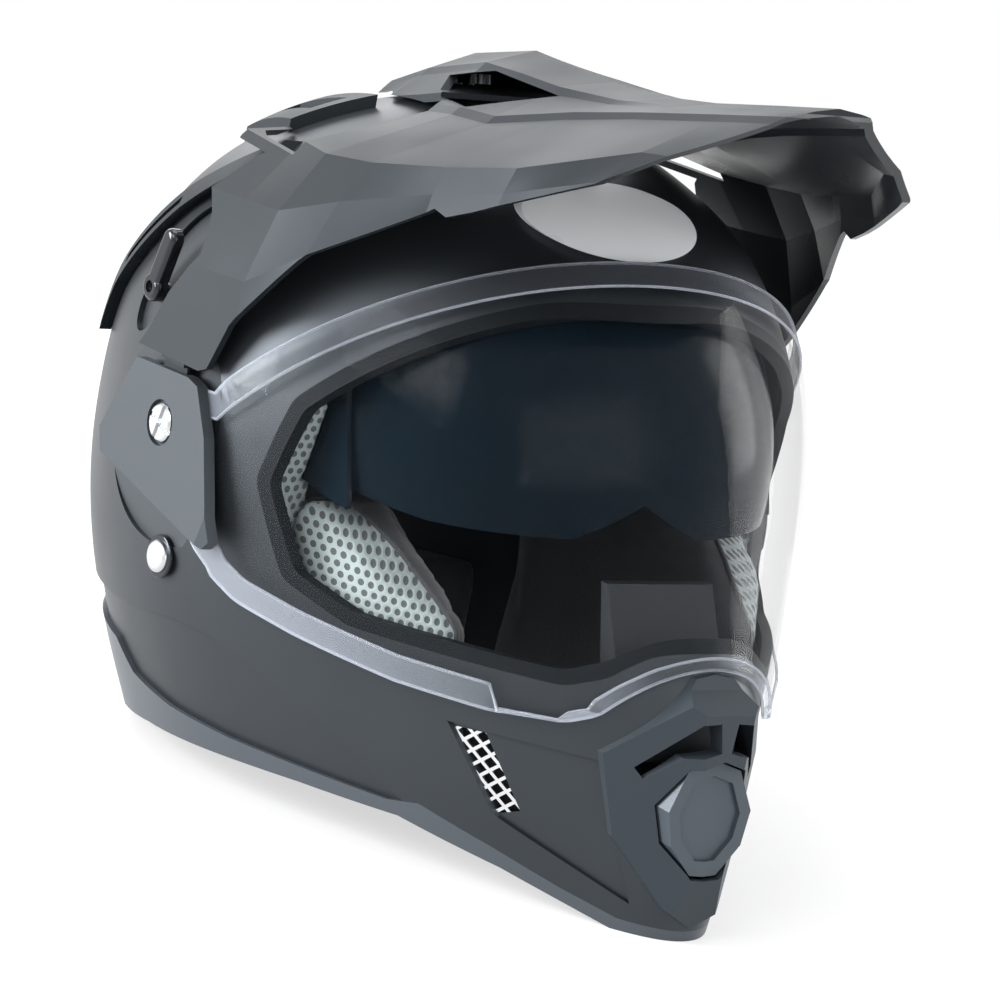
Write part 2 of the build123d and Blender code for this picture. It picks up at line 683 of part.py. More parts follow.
def peak_hull(wall):
    """The solid under the peak's faces. With a wall, it is the hollow inside that wall."""
    sections = []
    foot = peak_foot_share * peak_height
    for forward, shares in peak_section_shares:
        points = [(x * peak_half_width, z * peak_height) for x, z in shares]
        if wall:
            points = inward(points, wall)
        with BuildSketch(Plane.XZ.offset(forward * front_reach - crown_y)) as section:
            with BuildLine():
                Polyline(*points, (points[-1][0], foot), (0, foot), close=True)
            make_face()
        sections.append(section.sketch)
    with BuildPart() as hull:
        loft(sections, ruled=True)
        mirror(about=Plane.YZ)
    return hull.part


peak_outer = peak_hull(0.0)
peak_inner = peak_hull(peak_wall)

# Tab over the crown, a band round the pivot line with a slot for the thumb screw
tab_top_radius = thumb_seat_radius + thumb_tab_wall
slot_middle = thumb_turn + math.radians(peak_tilt) / 2
slot_out = Vector(0, math.cos(slot_middle), math.sin(slot_middle))
with BuildPart() as crown_tab:
    with BuildSketch(Plane.YZ):
        with Locations((pivot_y, pivot_z)):
            Circle(tab_top_radius)
            Circle(thumb_seat_radius, mode=Mode.SUBTRACT)
        with BuildLine():
            Polyline((pivot_y, pivot_z), *[(pivot_y + far * math.cos(math.radians(turn)),
                                            pivot_z + far * math.sin(math.radians(turn)))
                                           for turn in (tab_start, tab_end)], close=True)
        make_face(mode=Mode.INTERSECT)
    extrude(amount=scoop_half_width, both=True)
    add(peak_outer, mode=Mode.INTERSECT)
    with BuildSketch(Plane(origin=pivot_point, x_dir=(1, 0, 0), z_dir=slot_out)):
        SlotCenterToCenter(thumb_seat_radius * math.radians(peak_tilt),
                           2 * (thumb_shank_radius + moving_gap), rotation=90)
    extrude(amount=far, mode=Mode.SUBTRACT)

# Tab at each side, under the cover, with a step out to the peak's arm
joggle_z = cover_points[1][1] + joggle_gap
neck_near = pivot_y - peak_tab_neck / 2
neck_far = pivot_y + peak_tab_neck / 2
with BuildPart() as side_tab:
    add(x_cylinder(peak_tab_radius, tab_x, tab_outer_x, pivot_y, pivot_z))
    add(slab((tab_x, neck_near, pivot_z), (tab_outer_x, neck_far, joggle_z + joggle_height)))
    add(slab((tab_x, neck_near, joggle_z),
             (peak_half_width - peak_wall / 2, neck_far, joggle_z + joggle_height)))
    add(x_cylinder(screw_bore + moving_gap, 0, far, pivot_y, pivot_z), mode=Mode.SUBTRACT)
    mirror(about=Plane.YZ)

shoulder_y = crown_y - peak_shoulder_share * front_reach
with BuildPart() as peak:
    add(peak_outer)
    add(peak_inner, mode=Mode.SUBTRACT)
    add(side_prism(peak_side_shares, outer=far), mode=Mode.INTERSECT)
    add(both_halves(slab((scoop_half_width, shoulder_y, peak_shoulder_height_share * peak_height),
                         (far, far, far))), mode=Mode.SUBTRACT)
    add(side_prism(scoop_window_shares, inner=window_inner_x, outer=2 * scoop_half_width),
        mode=Mode.SUBTRACT)
    add(shield_inner_form, mode=Mode.SUBTRACT)
    add(crown_tab.part)
    add(side_tab.part)
finish(peak, "peak")

# Thumb screw and its threaded insert
thumb_base_radius = tab_top_radius + shield_arm_gap
insert_top_radius = thumb_seat_radius - moving_gap
insert_low_radius = thumb_base_radius - thumb_shank_length
with BuildPart() as thumb_screw:
    with BuildSketch(crown_plane(thumb_base_radius)):
        Circle(thumb_head_radius - thumb_lobe_radius / 2)
        with PolarLocations(thumb_head_radius - thumb_lobe_radius, thumb_lobe_count):
            Circle(thumb_lobe_radius)
    extrude(amount=thumb_head_height)
    with BuildSketch(crown_plane(thumb_base_radius)):
        Circle(thumb_shank_radius)
    extrude(amount=-thumb_shank_length)
finish(thumb_screw, "thumb_screw")

with BuildPart() as screw_insert:
    add(crown_cylinder(insert_flange_radius, insert_low_radius, insert_top_radius))
    add(skin_form, mode=Mode.SUBTRACT)
    add(crown_cylinder(insert_radius, insert_low_radius, insert_top_radius))
    add(crown_cylinder(thumb_shank_radius + moving_gap, 0, far), mode=Mode.SUBTRACT)
finish(screw_insert, "screw_insert")

# Oval brow plate, left bare
with BuildPart() as brow_prism:
    with BuildSketch(Plane.XZ.offset(-crown_y)):
        with Locations((0, brow_height_share * shell_height)):
            Ellipse(brow_half_width, brow_half_height)
    extrude(amount=front_reach)
with BuildPart() as brow_plate:
    add(skin_plate(brow_prism.part, shield_inner_form))
finish(brow_plate, "brow_plate")

# Vents that stand on the skin, at the rear of each side and on the crown
with BuildPart() as rear_vent:
    add(skin_plate(side_plate(place(rear_vent_shares), surround_half_width, far),
                   shield_outer_form))
    add(side_plate(place(rear_slot_shares), 0, far), mode=Mode.SUBTRACT)
both_sides(rear_vent, "rear_vent")

with BuildPart() as crown_vent:
    add(skin_plate(plan_prism(crown_vent_shares, pivot_z, far), shield_outer_form))
    add(plan_prism(crown_slot_shares, pivot_z, far), mode=Mode.SUBTRACT)
both_sides(crown_vent, "crown_vent")

# Chin vent surround, a faceted cap over the point of the shell
with BuildPart() as chin_vent_surround:
    with BuildSketch(Plane.XY):
        with BuildLine():
            Polyline(*[(x * surround_half_width, crown_y - forward * front_reach)
                       for x, forward in surround_plan_shares], close=True)
        make_face()
        mirror(about=Plane.YZ)
    extrude(amount=surround_height)
    add(front_prism(surround_shares, chin_front - overrun, chin_deep), mode=Mode.INTERSECT)
    add(both_halves(side_plate(place(surround_side_shares), 0, far)), mode=Mode.INTERSECT)
    add(skin_form, mode=Mode.SUBTRACT)
    add(front_prism(button_shares, chin_front - overrun, chin_deep, button_hole_scale),
        mode=Mode.SUBTRACT)
    add(both_halves(front_prism(chin_slot_shares, chin_front - overrun, chin_deep)),
        mode=Mode.SUBTRACT)
finish(chin_vent_surround, "chin_vent_surround")

# Hexagonal vent button with a dished face, which pushes straight in
with BuildPart() as button_dish:
    add(front_prism(button_shares, chin_front - overrun, chin_deep, button_dish_scale))
    add(side_plate(place(button_dish_side_shares), -far, far), mode=Mode.INTERSECT)
with BuildPart() as chin_vent_button:
    add(front_prism(button_shares, chin_front - overrun, chin_deep))
    add(side_plate(place(button_side_shares), -far, far), mode=Mode.INTERSECT)
    add(button_dish.part, mode=Mode.SUBTRACT)
finish(chin_vent_button, "chin_vent_button")

# Wire mesh in the slanted chin openings
mesh_points = place(mesh_shares)
mesh_centre = [sum(point[axis] for point in mesh_points) / len(mesh_points) for axis in (0, 1)]
with BuildPart() as mesh_diamonds:
    with BuildSketch(Plane.YZ):
        with Locations(Location(mesh_centre, mesh_turn)):
            with GridLocations(mesh_pitch, mesh_pitch, mesh_count, mesh_count):
                Rectangle(mesh_pitch - mesh_bar, mesh_pitch - mesh_bar)
    extrude(amount=far)
with BuildPart() as chin_mesh:
    add(pressed_form)
    add(side_plate(mesh_points, 0, far), mode=Mode.INTERSECT)
    add(mesh_form, mode=Mode.SUBTRACT)
    add(mesh_diamonds.part, mode=Mode.SUBTRACT)
both_sides(chin_mesh, "chin_mesh")


# Sun visor: a band turned round the line of its pivots, on two flat arms
def sun_outline(inset, last_x):
    """Points (x, radius) of the visor's curve, drawn inwards by inset, from the middle to last_x."""
    half = sun_half_width - inset
    radius = sun_radius - inset
    points = []
    for step in range(sun_steps + 1):
        x = last_x * step / sun_steps
        points.append((x, radius * (1 - (x / half) ** sun_power) ** (1 / sun_power)))
    return points


def sun_plane(turn):
    """The plane through the pivot line and the direction at an angle above straight ahead."""
    up = math.radians(turn)
    return Plane(origin=(0, sun_y, sun_z), x_dir=(1, 0, 0),
                 z_dir=(0, -math.sin(up), -math.cos(up)))


def sun_turned(points, curve_count, start, sweep):
    """A solid turned round the pivot line: a curve through the first points, then straight runs."""
    with BuildPart() as band:
        with BuildSketch(sun_plane(start)):
            with BuildLine():
                Spline(*points[:curve_count])
                Polyline(*points[curve_count - 1:], points[0])
            make_face()
        revolve(axis=Axis((0, sun_y, sun_z), (-1, 0, 0)), revolution_arc=sweep)
    return band.part


arm_x = sun_half_width - sun_arm_step
sun_outer = sun_outline(0.0, arm_x)
sun_inner = sun_outline(sun_wall, arm_x - sun_wall)
with BuildPart() as visor_band:
    with BuildSketch(sun_plane(sun_low_angle)):
        with BuildLine():
            Spline(*sun_outer)
            Line(sun_outer[-1], sun_inner[-1])
            Spline(*reversed(sun_inner))
            Line(sun_inner[0], sun_outer[0])
        make_face()
    revolve(axis=Axis((0, sun_y, sun_z), (-1, 0, 0)), revolution_arc=sun_high_angle - sun_low_angle)
sun_rear = side_plate(place(sun_side_shares), 0, far)
sun_front = front_prism(sun_front_shares, crown_y - front_reach, crown_y)
sun_arm = side_plate(place(sun_arm_shares), arm_x - sun_wall, arm_x)
with BuildPart() as sun_visor:
    add(visor_band.part)
    add(sun_rear, mode=Mode.INTERSECT)
    add(sun_front, mode=Mode.INTERSECT)
    add(sun_arm)
    add(x_cylinder(sun_arm_radius, arm_x - sun_wall, arm_x, sun_y, sun_z))
    add(x_cylinder(sun_pin_radius + moving_gap, 0, far, sun_y, sun_z), mode=Mode.SUBTRACT)
    mirror(about=Plane.YZ)
finish(sun_visor, "sun_visor")

with BuildPart() as sun_visor_pivot:
    add(x_cylinder(sun_boss_radius, arm_x + moving_gap, far, sun_y, sun_z))
    add(x_cylinder(sun_pin_radius, arm_x - sun_wall - moving_gap, far, sun_y, sun_z))
    add(inner_form, mode=Mode.INTERSECT)
both_sides(sun_visor_pivot, "sun_visor_pivot")

# Lever of the sun visor, on the wearer's right side, and the pin that it turns on
lever_near_x = -lever_face_x
with BuildPart() as sun_visor_lever:
    with BuildSketch(Plane.YZ.offset(lever_near_x)):
        with Locations(Location((lever_y, lever_z), lever_tilt)):
            Circle(lever_hub_radius)
            with Locations((0, lever_length / 2)):
                SlotCenterToCenter(lever_length, lever_width, rotation=90)
        with Locations((lever_y, lever_z)):
            Circle(lever_pin_radius + moving_gap, mode=Mode.SUBTRACT)
    extrude(amount=-lever_wall)
    fillet(faces().sort_by(Axis.X)[0].outer_wire().edges(), lever_wall * rivet_round_share / 2)
finish(sun_visor_lever, "sun_visor_lever")

with BuildPart() as lever_pin:
    add(x_cylinder(lever_pin_radius, lever_near_x - lever_wall / 2, -lever_pin_foot_x,
                   lever_y, lever_z))
    add(x_cylinder(2 * lever_pin_radius, -lever_pin_foot_x, -lever_pin_foot_x + washer_thickness,
                   lever_y, lever_z))
finish(lever_pin, "lever_pin")

# Head cavity, the space that the liner surrounds
cavity_y = crown_y - cavity_forward_share * front_reach
cavity_z = cavity_base_share * shell_height


def head_space(inset):
    """The head cavity: the top of an ellipsoid on an oval well. It grows by a negative inset."""
    half = cavity_half_width - inset
    length = cavity_half_length - inset
    height = cavity_height - inset
    with BuildPart() as space:
        Sphere(1)
        scale(by=(half, length, height))
    with BuildPart() as placed:
        with Locations((0, cavity_y, cavity_z)):
            add(space.part)
        with BuildSketch(Plane.XY.offset(-overrun)):
            with Locations((0, cavity_y)):
                Ellipse(half, length)
        extrude(amount=cavity_z + overrun)
    return placed.part


face_top_z = face_top_share * shell_height
face_space = both_halves(plan_prism(face_shares, -overrun, face_top_z))
cavity = head_space(0.0)
slot_end_x = arm_x - sun_wall - running_gap * 4
slot_curve = sun_outline(sun_wall + sun_slot_gap, slot_end_x)
slot_points = slot_curve + [(slot_end_x, 0), (arm_x + sun_slot_gap, 0),
                            (arm_x + sun_slot_gap, sun_radius + overrun),
                            (0, sun_radius + overrun)]
sun_slot = both_halves(sun_turned(slot_points, len(slot_curve), slot_low_angle,
                                  slot_high_angle - slot_low_angle))
strap_channel_y = strap_width / 2 + strap_clearance
with BuildPart() as strap_channel:
    with BuildSketch(Plane.XZ.offset(-rivet_y - strap_channel_y)):
        with BuildLine():
            Polyline((far, rivet_z + strap_channel_y), (strap_top_x - strap_clearance * 2,
                     rivet_z + strap_channel_y), (strap_top_x - strap_clearance * 2, rivet_z -
                     strap_width / 2), (strap_low_x - strap_clearance * 3, 0), (far, 0),
                     close=True)
        make_face()
    extrude(amount=2 * strap_channel_y)
    mirror(about=Plane.YZ)
with BuildPart() as foam_cuts:
    add(cavity)
    add(face_space)
    add(sun_slot)
    add(side_prism(port_shares, rounding=port_round, grow=liner_gap))
    add(strap_channel.part)
    add(both_halves(x_cylinder(sun_arm_radius + running_gap * 4, slot_end_x, far,
                               sun_y, sun_z)))
    add(both_halves(x_cylinder(sun_arm_room, slot_end_x, arm_x + sun_slot_gap, sun_y, sun_z)))
    add(both_halves(x_cylinder(nut_radius + running_gap * 4, inner_x - nut_wall - running_gap * 4,
                               far, pivot_y, pivot_z)))
    add(x_cylinder(3 * lever_pin_radius, -far, -lever_pin_foot_x + 2 * washer_thickness,
                   lever_y, lever_z))
    add(crown_cylinder(insert_radius + running_gap * 4, insert_low_radius - overrun / 10, far))
chin_box_y = crown_y - chin_foam_share * front_reach
chin_box_z = chin_foam_height_share * shell_height
foam_rim_prism = side_prism([(forward, up + foam_rise_share) for forward, up in rim_shares]
                            + [(-0.379, -0.1), (0.918, -0.1)])
with BuildPart() as foam_body:
    add(foam_form)
    add(ground_prism, mode=Mode.SUBTRACT)
    add(foam_rim_prism, mode=Mode.SUBTRACT)
    add(foam_cuts.part, mode=Mode.SUBTRACT)

button_room = front_prism(chin_hole_shares, chin_front - overrun,
                          crown_y - button_room_share * front_reach)
with BuildPart() as crown_foam:
    add(foam_body.part)
    add(slab((-far, -far, -far), (far, chin_box_y, far)), mode=Mode.SUBTRACT)
finish(crown_foam, "crown_foam")

with BuildPart() as chin_foam:
    add(foam_body.part)
    add(slab((-far, -far, -far), (far, chin_box_y - liner_gap, chin_box_z)),
        mode=Mode.INTERSECT)
    add(button_room, mode=Mode.SUBTRACT)
finish(chin_foam, "chin_foam")

# Padding: the crown pad, the cheek pads and the neck roll
with BuildPart() as crown_pad:
    add(head_space(liner_gap))
    add(head_space(liner_gap + crown_pad_wall), mode=Mode.SUBTRACT)
    add(slab((-far, -far, crown_pad_share * shell_height), (far, far, far)),
        mode=Mode.INTERSECT)
    add(slab((-far, -far, -far), (far, crown_y - crown_face_share * front_reach,
                                  crown_face_height_share * shell_height)), mode=Mode.SUBTRACT)
finish(crown_pad, "crown_pad")

cheek_low = cheek_low_share * shell_height
cheek_high = cheek_high_share * shell_height
cheek_x = sum(x for x, forward in cheek_shares) / len(cheek_shares) * shell_half_width
cheek_y = crown_y - sum(forward for x, forward in cheek_shares) / len(cheek_shares) * front_reach
with BuildPart() as cheek_pad:
    levels = []
    for height_share, size_share in cheek_level_shares:
        level = cheek_low + height_share * (cheek_high - cheek_low)
        with BuildSketch(Plane.XY.offset(level)) as outline:
            with BuildLine():
                Polyline(*[(cheek_x + (x * shell_half_width - cheek_x) * size_share,
                            cheek_y + (crown_y - forward * front_reach - cheek_y) * size_share)
                           for x, forward in cheek_shares], close=True)
            make_face()
            fillet(vertices(), cheek_round * size_share)
        levels.append(outline.sketch)
    loft(levels, ruled=True)
    add(pad_limit_form, mode=Mode.INTERSECT)
    add(side_plate(place(cheek_slope_shares), 0, far), mode=Mode.SUBTRACT)
both_sides(cheek_pad, "cheek_pad")

with BuildPart() as neck_roll:
    with BuildSketch(Plane.XY.offset(neck_low_share * shell_height)):
        with Locations((0, cavity_y)):
            Ellipse(cavity_half_width - liner_gap * 2, cavity_half_length - liner_gap * 2)
            Ellipse(cavity_half_width - neck_wall, cavity_half_length - neck_wall,
                    mode=Mode.SUBTRACT)
            with Locations((0, -cavity_half_length / 2)):
                Rectangle(far, cavity_half_length * neck_cut_share, mode=Mode.SUBTRACT)
    extrude(amount=(neck_high_share - neck_low_share) * shell_height)
    fillet(edges().filter_by(Axis.Z), neck_wall / 3)
    fillet(faces().filter_by(Axis.Z).edges(), neck_wall / 4)
    add(pad_limit_form, mode=Mode.INTERSECT)
finish(neck_roll, "neck_roll")

# Breath guard behind the bottom of the eye port
with BuildPart() as guard_core:
    add(foam_form)
    add(side_plate(place(guard_side_shares), 0, far), mode=Mode.INTERSECT)
    mirror(about=Plane.YZ)
with BuildPart() as breath_guard:
    add(guard_core.part)
    add(both_halves(plan_prism(guard_inner_shares, 0, far)), mode=Mode.SUBTRACT)
    with BuildSketch(Plane.YZ):
        with BuildLine():
            Polyline(*place(guard_nose_shares), close=True)
        make_face()
    extrude(amount=guard_nose_half_width, both=True)
    add(pad_limit_form, mode=Mode.INTERSECT)
    add(button_room, mode=Mode.SUBTRACT)
finish(breath_guard, "breath_guard")

# Chin strap: two webbing halves from the rivets, along the inside of the rim
strap_path = [(strap_top_x, rivet_z + strap_width / 2), (strap_top_x, rivet_z - strap_width / 2),
              (strap_knee_x, strap_knee_z), (strap_low_x, strap_low_z),
              (strap_flat_x, strap_height), (strap_end_x, strap_height)]
with BuildPart() as chin_strap:
    with BuildLine(Plane.XZ.offset(-rivet_y)) as strap_line:
        FilletPolyline(*strap_path, radius=strap_bend)
    with BuildSketch(Plane(origin=strap_line.line @ 0, x_dir=(0, 1, 0), z_dir=(0, 0, -1))):
        Rectangle(strap_width, strap_wall)
    sweep()
    add(x_cylinder(rivet_bore, 0, far, rivet_y, rivet_z), mode=Mode.SUBTRACT)
both_sides(chin_strap, "chin_strap")

pad_low = strap_height + strap_wall / 2
with BuildPart() as strap_pad:
    add(slab((strap_pad_near_x, rivet_y - strap_width / 2 - strap_clearance, pad_low),
             (strap_pad_far_x, rivet_y + strap_width / 2 + strap_clearance,
              pad_low + strap_pad_wall)))
    fillet(edges().filter_by(Axis.Z), strap_pad_wall)
    fillet(faces().sort_by(Axis.Z)[-1].edges(), strap_pad_wall / 3)
both_sides(strap_pad, "strap_pad")

# Ratchet buckle: its body, the toothed tongue and the lever that lets go
strap_under = strap_height - strap_wall / 2
side_y = buckle_width / 2
hinge_z = strap_under + buckle_side_height - buckle_pin_radius * 2
with BuildPart() as strap_buckle:
    add(slab((buckle_front_x, rivet_y - side_y, strap_under - buckle_wall),
             (buckle_rear_x, rivet_y + side_y, strap_under)))
    for side in (-1, 1):
        with BuildSketch(Plane.XZ.offset(-(rivet_y + side * (side_y - buckle_wall / 2)))):
            with BuildLine():
                Polyline((buckle_front_x, strap_under - buckle_wall),
                         (strap_end_x - strap_clearance, strap_under - buckle_wall),
                         (strap_end_x - strap_clearance * 3, strap_under + buckle_side_height),
                         (buckle_front_x + strap_clearance * 3, strap_under + buckle_side_height),
                         close=True)
            make_face()
        extrude(amount=buckle_wall / 2, both=True)
    with BuildSketch(Plane.XZ.offset(-(rivet_y + side_y))):
        with Locations((hinge_x, hinge_z)):
            Circle(buckle_pin_radius)
    extrude(amount=buckle_width)
finish(strap_buckle, "strap_buckle")

lever_side = side_y - buckle_wall - running_gap * 2
with BuildPart() as buckle_lever:
    with BuildSketch(Plane.XZ.offset(-(rivet_y + lever_side))):
        with BuildLine():
            Polyline((hinge_x - buckle_eye, hinge_z + buckle_eye),
                     (buckle_rear_x, hinge_z + buckle_eye),
                     (buckle_rear_x, hinge_z + buckle_eye - buckle_wall),
                     (hinge_x + buckle_eye, hinge_z - buckle_eye),
                     (hinge_x - buckle_eye, hinge_z - buckle_eye), close=True)
        make_face()
        with Locations((hinge_x, hinge_z)):
            Circle(buckle_pin_radius + running_gap, mode=Mode.SUBTRACT)
    extrude(amount=2 * lever_side)
finish(buckle_lever, "buckle_lever")

tongue_y = side_y - buckle_wall - strap_clearance
with BuildPart() as strap_tongue:
    with BuildSketch(Plane.XZ.offset(-(rivet_y + tongue_y))):
        with BuildLine():
            tooth = (tongue_tip_x - tongue_root_x) / tongue_teeth
            top = [(tongue_root_x, strap_under + tongue_wall)]
            for index in range(tongue_teeth):
                near = tongue_root_x + index * tooth
                top += [(near + tooth, strap_under + tongue_wall + tongue_tooth),
                        (near + tooth, strap_under + tongue_wall)]
            Polyline((-strap_end_x, strap_under), (-strap_end_x, strap_under + tongue_wall),
                     *top, (tongue_tip_x, strap_under), close=True)
        make_face()
    extrude(amount=2 * tongue_y)
finish(strap_tongue, "strap_tongue")
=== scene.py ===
import math

import bmesh
import bpy
import numpy as np
from mathutils import Matrix, Vector
from mathutils.bvhtree import BVHTree


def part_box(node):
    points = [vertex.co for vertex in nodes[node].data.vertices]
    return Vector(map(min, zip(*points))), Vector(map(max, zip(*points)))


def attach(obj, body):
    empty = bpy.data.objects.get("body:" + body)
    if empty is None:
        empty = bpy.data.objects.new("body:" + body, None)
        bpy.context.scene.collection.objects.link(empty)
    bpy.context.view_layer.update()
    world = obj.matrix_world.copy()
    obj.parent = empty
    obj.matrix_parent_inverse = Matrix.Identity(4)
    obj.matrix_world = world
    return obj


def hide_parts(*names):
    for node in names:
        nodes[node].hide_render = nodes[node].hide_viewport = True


# %% [markdown]
# A dual sport helmet is a hard black shell with a folded peak, a clear shield, a dark sun visor and
# soft padding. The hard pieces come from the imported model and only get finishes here. The soft
# pieces are made again, because cloth and foam need fuller, rounder shapes than plain solids.

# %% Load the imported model
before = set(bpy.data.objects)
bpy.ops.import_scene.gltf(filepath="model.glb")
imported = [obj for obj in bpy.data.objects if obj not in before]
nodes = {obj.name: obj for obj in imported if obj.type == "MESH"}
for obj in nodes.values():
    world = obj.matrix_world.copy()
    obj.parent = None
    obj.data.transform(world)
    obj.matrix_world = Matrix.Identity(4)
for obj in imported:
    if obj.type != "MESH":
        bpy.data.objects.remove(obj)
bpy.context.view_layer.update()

# %% [markdown]
# Every finish below is one material with one Principled shader. A helper makes the material and
# sets the plain values straight on the shader's sockets. What changes over the surface comes from
# small node groups, which several finishes share, each with its own values.

# %% Material helpers
def new_finish(name, **values):
    """A material with its node tree and its Principled shader, with plain values set on sockets."""
    material = bpy.data.materials.new(name)
    material.use_nodes = True
    tree = material.node_tree
    shader = tree.nodes["Principled BSDF"]
    for socket, value in values.items():
        shader.inputs[socket.replace("_", " ")].default_value = value
    return material, tree, shader


def add_node(tree, kind, **settings):
    """A new node in a tree, with its settings."""
    node = tree.nodes.new(kind)
    for setting, value in settings.items():
        setattr(node, setting, value)
    return node


def math_node(tree, operation, first, second=None):
    """A math node between two links or numbers, which returns its output."""
    node = add_node(tree, "ShaderNodeMath", operation=operation)
    for socket, value in zip(node.inputs, (first, second)):
        if value is None:
            continue
        if isinstance(value, (int, float)):
            socket.default_value = value
        else:
            tree.links.new(value, socket)
    return node.outputs[0]


def map_range(tree, source, from_range, to_range):
    """A value moved from one range to another, and held at its ends."""
    node = add_node(tree, "ShaderNodeMapRange")
    tree.links.new(source, node.inputs["Value"])
    for label, value in zip(("From Min", "From Max", "To Min", "To Max"),
                            (*from_range, *to_range)):
        node.inputs[label].default_value = value
    return node.outputs["Result"]


def seen_share(tree):
    """Is 1 for rays from the camera, in reflections and through clear things, and 0 for others."""
    rays = add_node(tree, "ShaderNodeLightPath")
    seen = math_node(tree, "ADD", rays.outputs["Is Camera Ray"], rays.outputs["Is Glossy Ray"])
    seen = math_node(tree, "ADD", seen, rays.outputs["Is Transmission Ray"])
    return math_node(tree, "MINIMUM", seen, 1.0)


def scale_by_tilt(finish, socket, upward_range, factor_range):
    """Multiplies what feeds a shader's socket by a factor that follows how far a face looks up."""
    tree = finish.node_tree
    target = tree.nodes["Principled BSDF"].inputs[socket]
    source = target.links[0].from_socket
    face = add_node(tree, "ShaderNodeNewGeometry")
    axes = add_node(tree, "ShaderNodeSeparateXYZ")
    tree.links.new(face.outputs["Normal"], axes.inputs["Vector"])
    factor = map_range(tree, axes.outputs["Z"], upward_range, factor_range)
    tree.links.new(math_node(tree, "MULTIPLY", source, factor), target)


def new_group(name, inputs, outputs):
    """An empty shader node group with named value inputs and outputs."""
    group = bpy.data.node_groups.new(name, "ShaderNodeTree")
    for label, value in inputs.items():
        socket = group.interface.new_socket(label, in_out="INPUT", socket_type="NodeSocketFloat")
        socket.default_value = value
    for label, kind in outputs.items():
        group.interface.new_socket(label, in_out="OUTPUT", socket_type=kind)
    return group, group.nodes.new("NodeGroupInput"), group.nodes.new("NodeGroupOutput")


def place_group(tree, group, **values):
    """The group placed in a material, with its own values."""
    node = add_node(tree, "ShaderNodeGroup", node_tree=group)
    for label, value in values.items():
        node.inputs[label.replace("_", " ")].default_value = value
    return node


# %% [markdown]
# Moulded plastic has a fine grain that catches the light, and handling leaves broad soft patches
# where it is a little glossier. One group makes both from noise. The bump is inside the group,
# which hands out only a normal and a roughness.

# %% Group for moulded grain
grain_depth = 0.0002
patch_noise_range = (0.35, 0.68)
grain_group, grain_in, grain_out = new_group(
    "Moulded grain",
    {"Grain Scale": 1400.0, "Grain Strength": 0.15, "Patch Scale": 14.0, "Smooth": 0.3,
     "Rough": 0.45},
    {"Normal": "NodeSocketVector", "Roughness": "NodeSocketFloat"})
grain_place = add_node(grain_group, "ShaderNodeTexCoord")
grain_noise = add_node(grain_group, "ShaderNodeTexNoise")
grain_bump = add_node(grain_group, "ShaderNodeBump")
grain_bump.inputs["Distance"].default_value = grain_depth
patch_noise = add_node(grain_group, "ShaderNodeTexNoise")
patch_range = add_node(grain_group, "ShaderNodeMapRange")
for label, value in zip(("From Min", "From Max"), patch_noise_range):
    patch_range.inputs[label].default_value = value
for source, target in (
        (grain_place.outputs["Object"], grain_noise.inputs["Vector"]),
        (grain_in.outputs["Grain Scale"], grain_noise.inputs["Scale"]),
        (grain_noise.outputs["Fac"], grain_bump.inputs["Height"]),
        (grain_in.outputs["Grain Strength"], grain_bump.inputs["Strength"]),
        (grain_bump.outputs["Normal"], grain_out.inputs["Normal"]),
        (grain_place.outputs["Object"], patch_noise.inputs["Vector"]),
        (grain_in.outputs["Patch Scale"], patch_noise.inputs["Scale"]),
        (patch_noise.outputs["Fac"], patch_range.inputs["Value"]),
        (grain_in.outputs["Smooth"], patch_range.inputs["To Min"]),
        (grain_in.outputs["Rough"], patch_range.inputs["To Max"]),
        (patch_range.outputs["Result"], grain_out.inputs["Roughness"])):
    grain_group.links.new(source, target)
print("group", grain_group.name, "has", len(grain_group.nodes), "nodes")

# %% [markdown]
# Woven webbing and lining cloth are crossed threads. Two wave textures that cross each other,
# multiplied, give a height that looks woven from near and reads as soft cloth from far.

# %% Group for woven cloth
thread_depth = 0.0006
weave_group, weave_in, weave_out = new_group(
    "Crossed threads", {"Thread Scale": 300.0, "Weave Strength": 0.5},
    {"Normal": "NodeSocketVector"})
weave_place = add_node(weave_group, "ShaderNodeTexCoord")
weave_bump = add_node(weave_group, "ShaderNodeBump")
weave_bump.inputs["Distance"].default_value = thread_depth
thread_waves = []
for direction in ("DIAGONAL", "Z"):
    wave = add_node(weave_group, "ShaderNodeTexWave", bands_direction=direction)
    weave_group.links.new(weave_place.outputs["Object"], wave.inputs["Vector"])
    weave_group.links.new(weave_in.outputs["Thread Scale"], wave.inputs["Scale"])
    thread_waves.append(wave.outputs["Fac"])
thread_height = math_node(weave_group, "MULTIPLY", *thread_waves)
weave_group.links.new(thread_height, weave_bump.inputs["Height"])
weave_group.links.new(weave_in.outputs["Weave Strength"], weave_bump.inputs["Strength"])
weave_group.links.new(weave_bump.outputs["Normal"], weave_out.inputs["Normal"])
print("group", weave_group.name, "has", len(weave_group.nodes), "nodes")

# %% [markdown]
# Airy mesh cloth is knitted with round holes in a honeycomb. A honeycomb is two plain grids, one
# shifted by half a step, so the distance to the nearest hole is the smaller of two distances. The
# grid runs sideways and partly to the rear, so the holes stay round on a pad's slanted side.

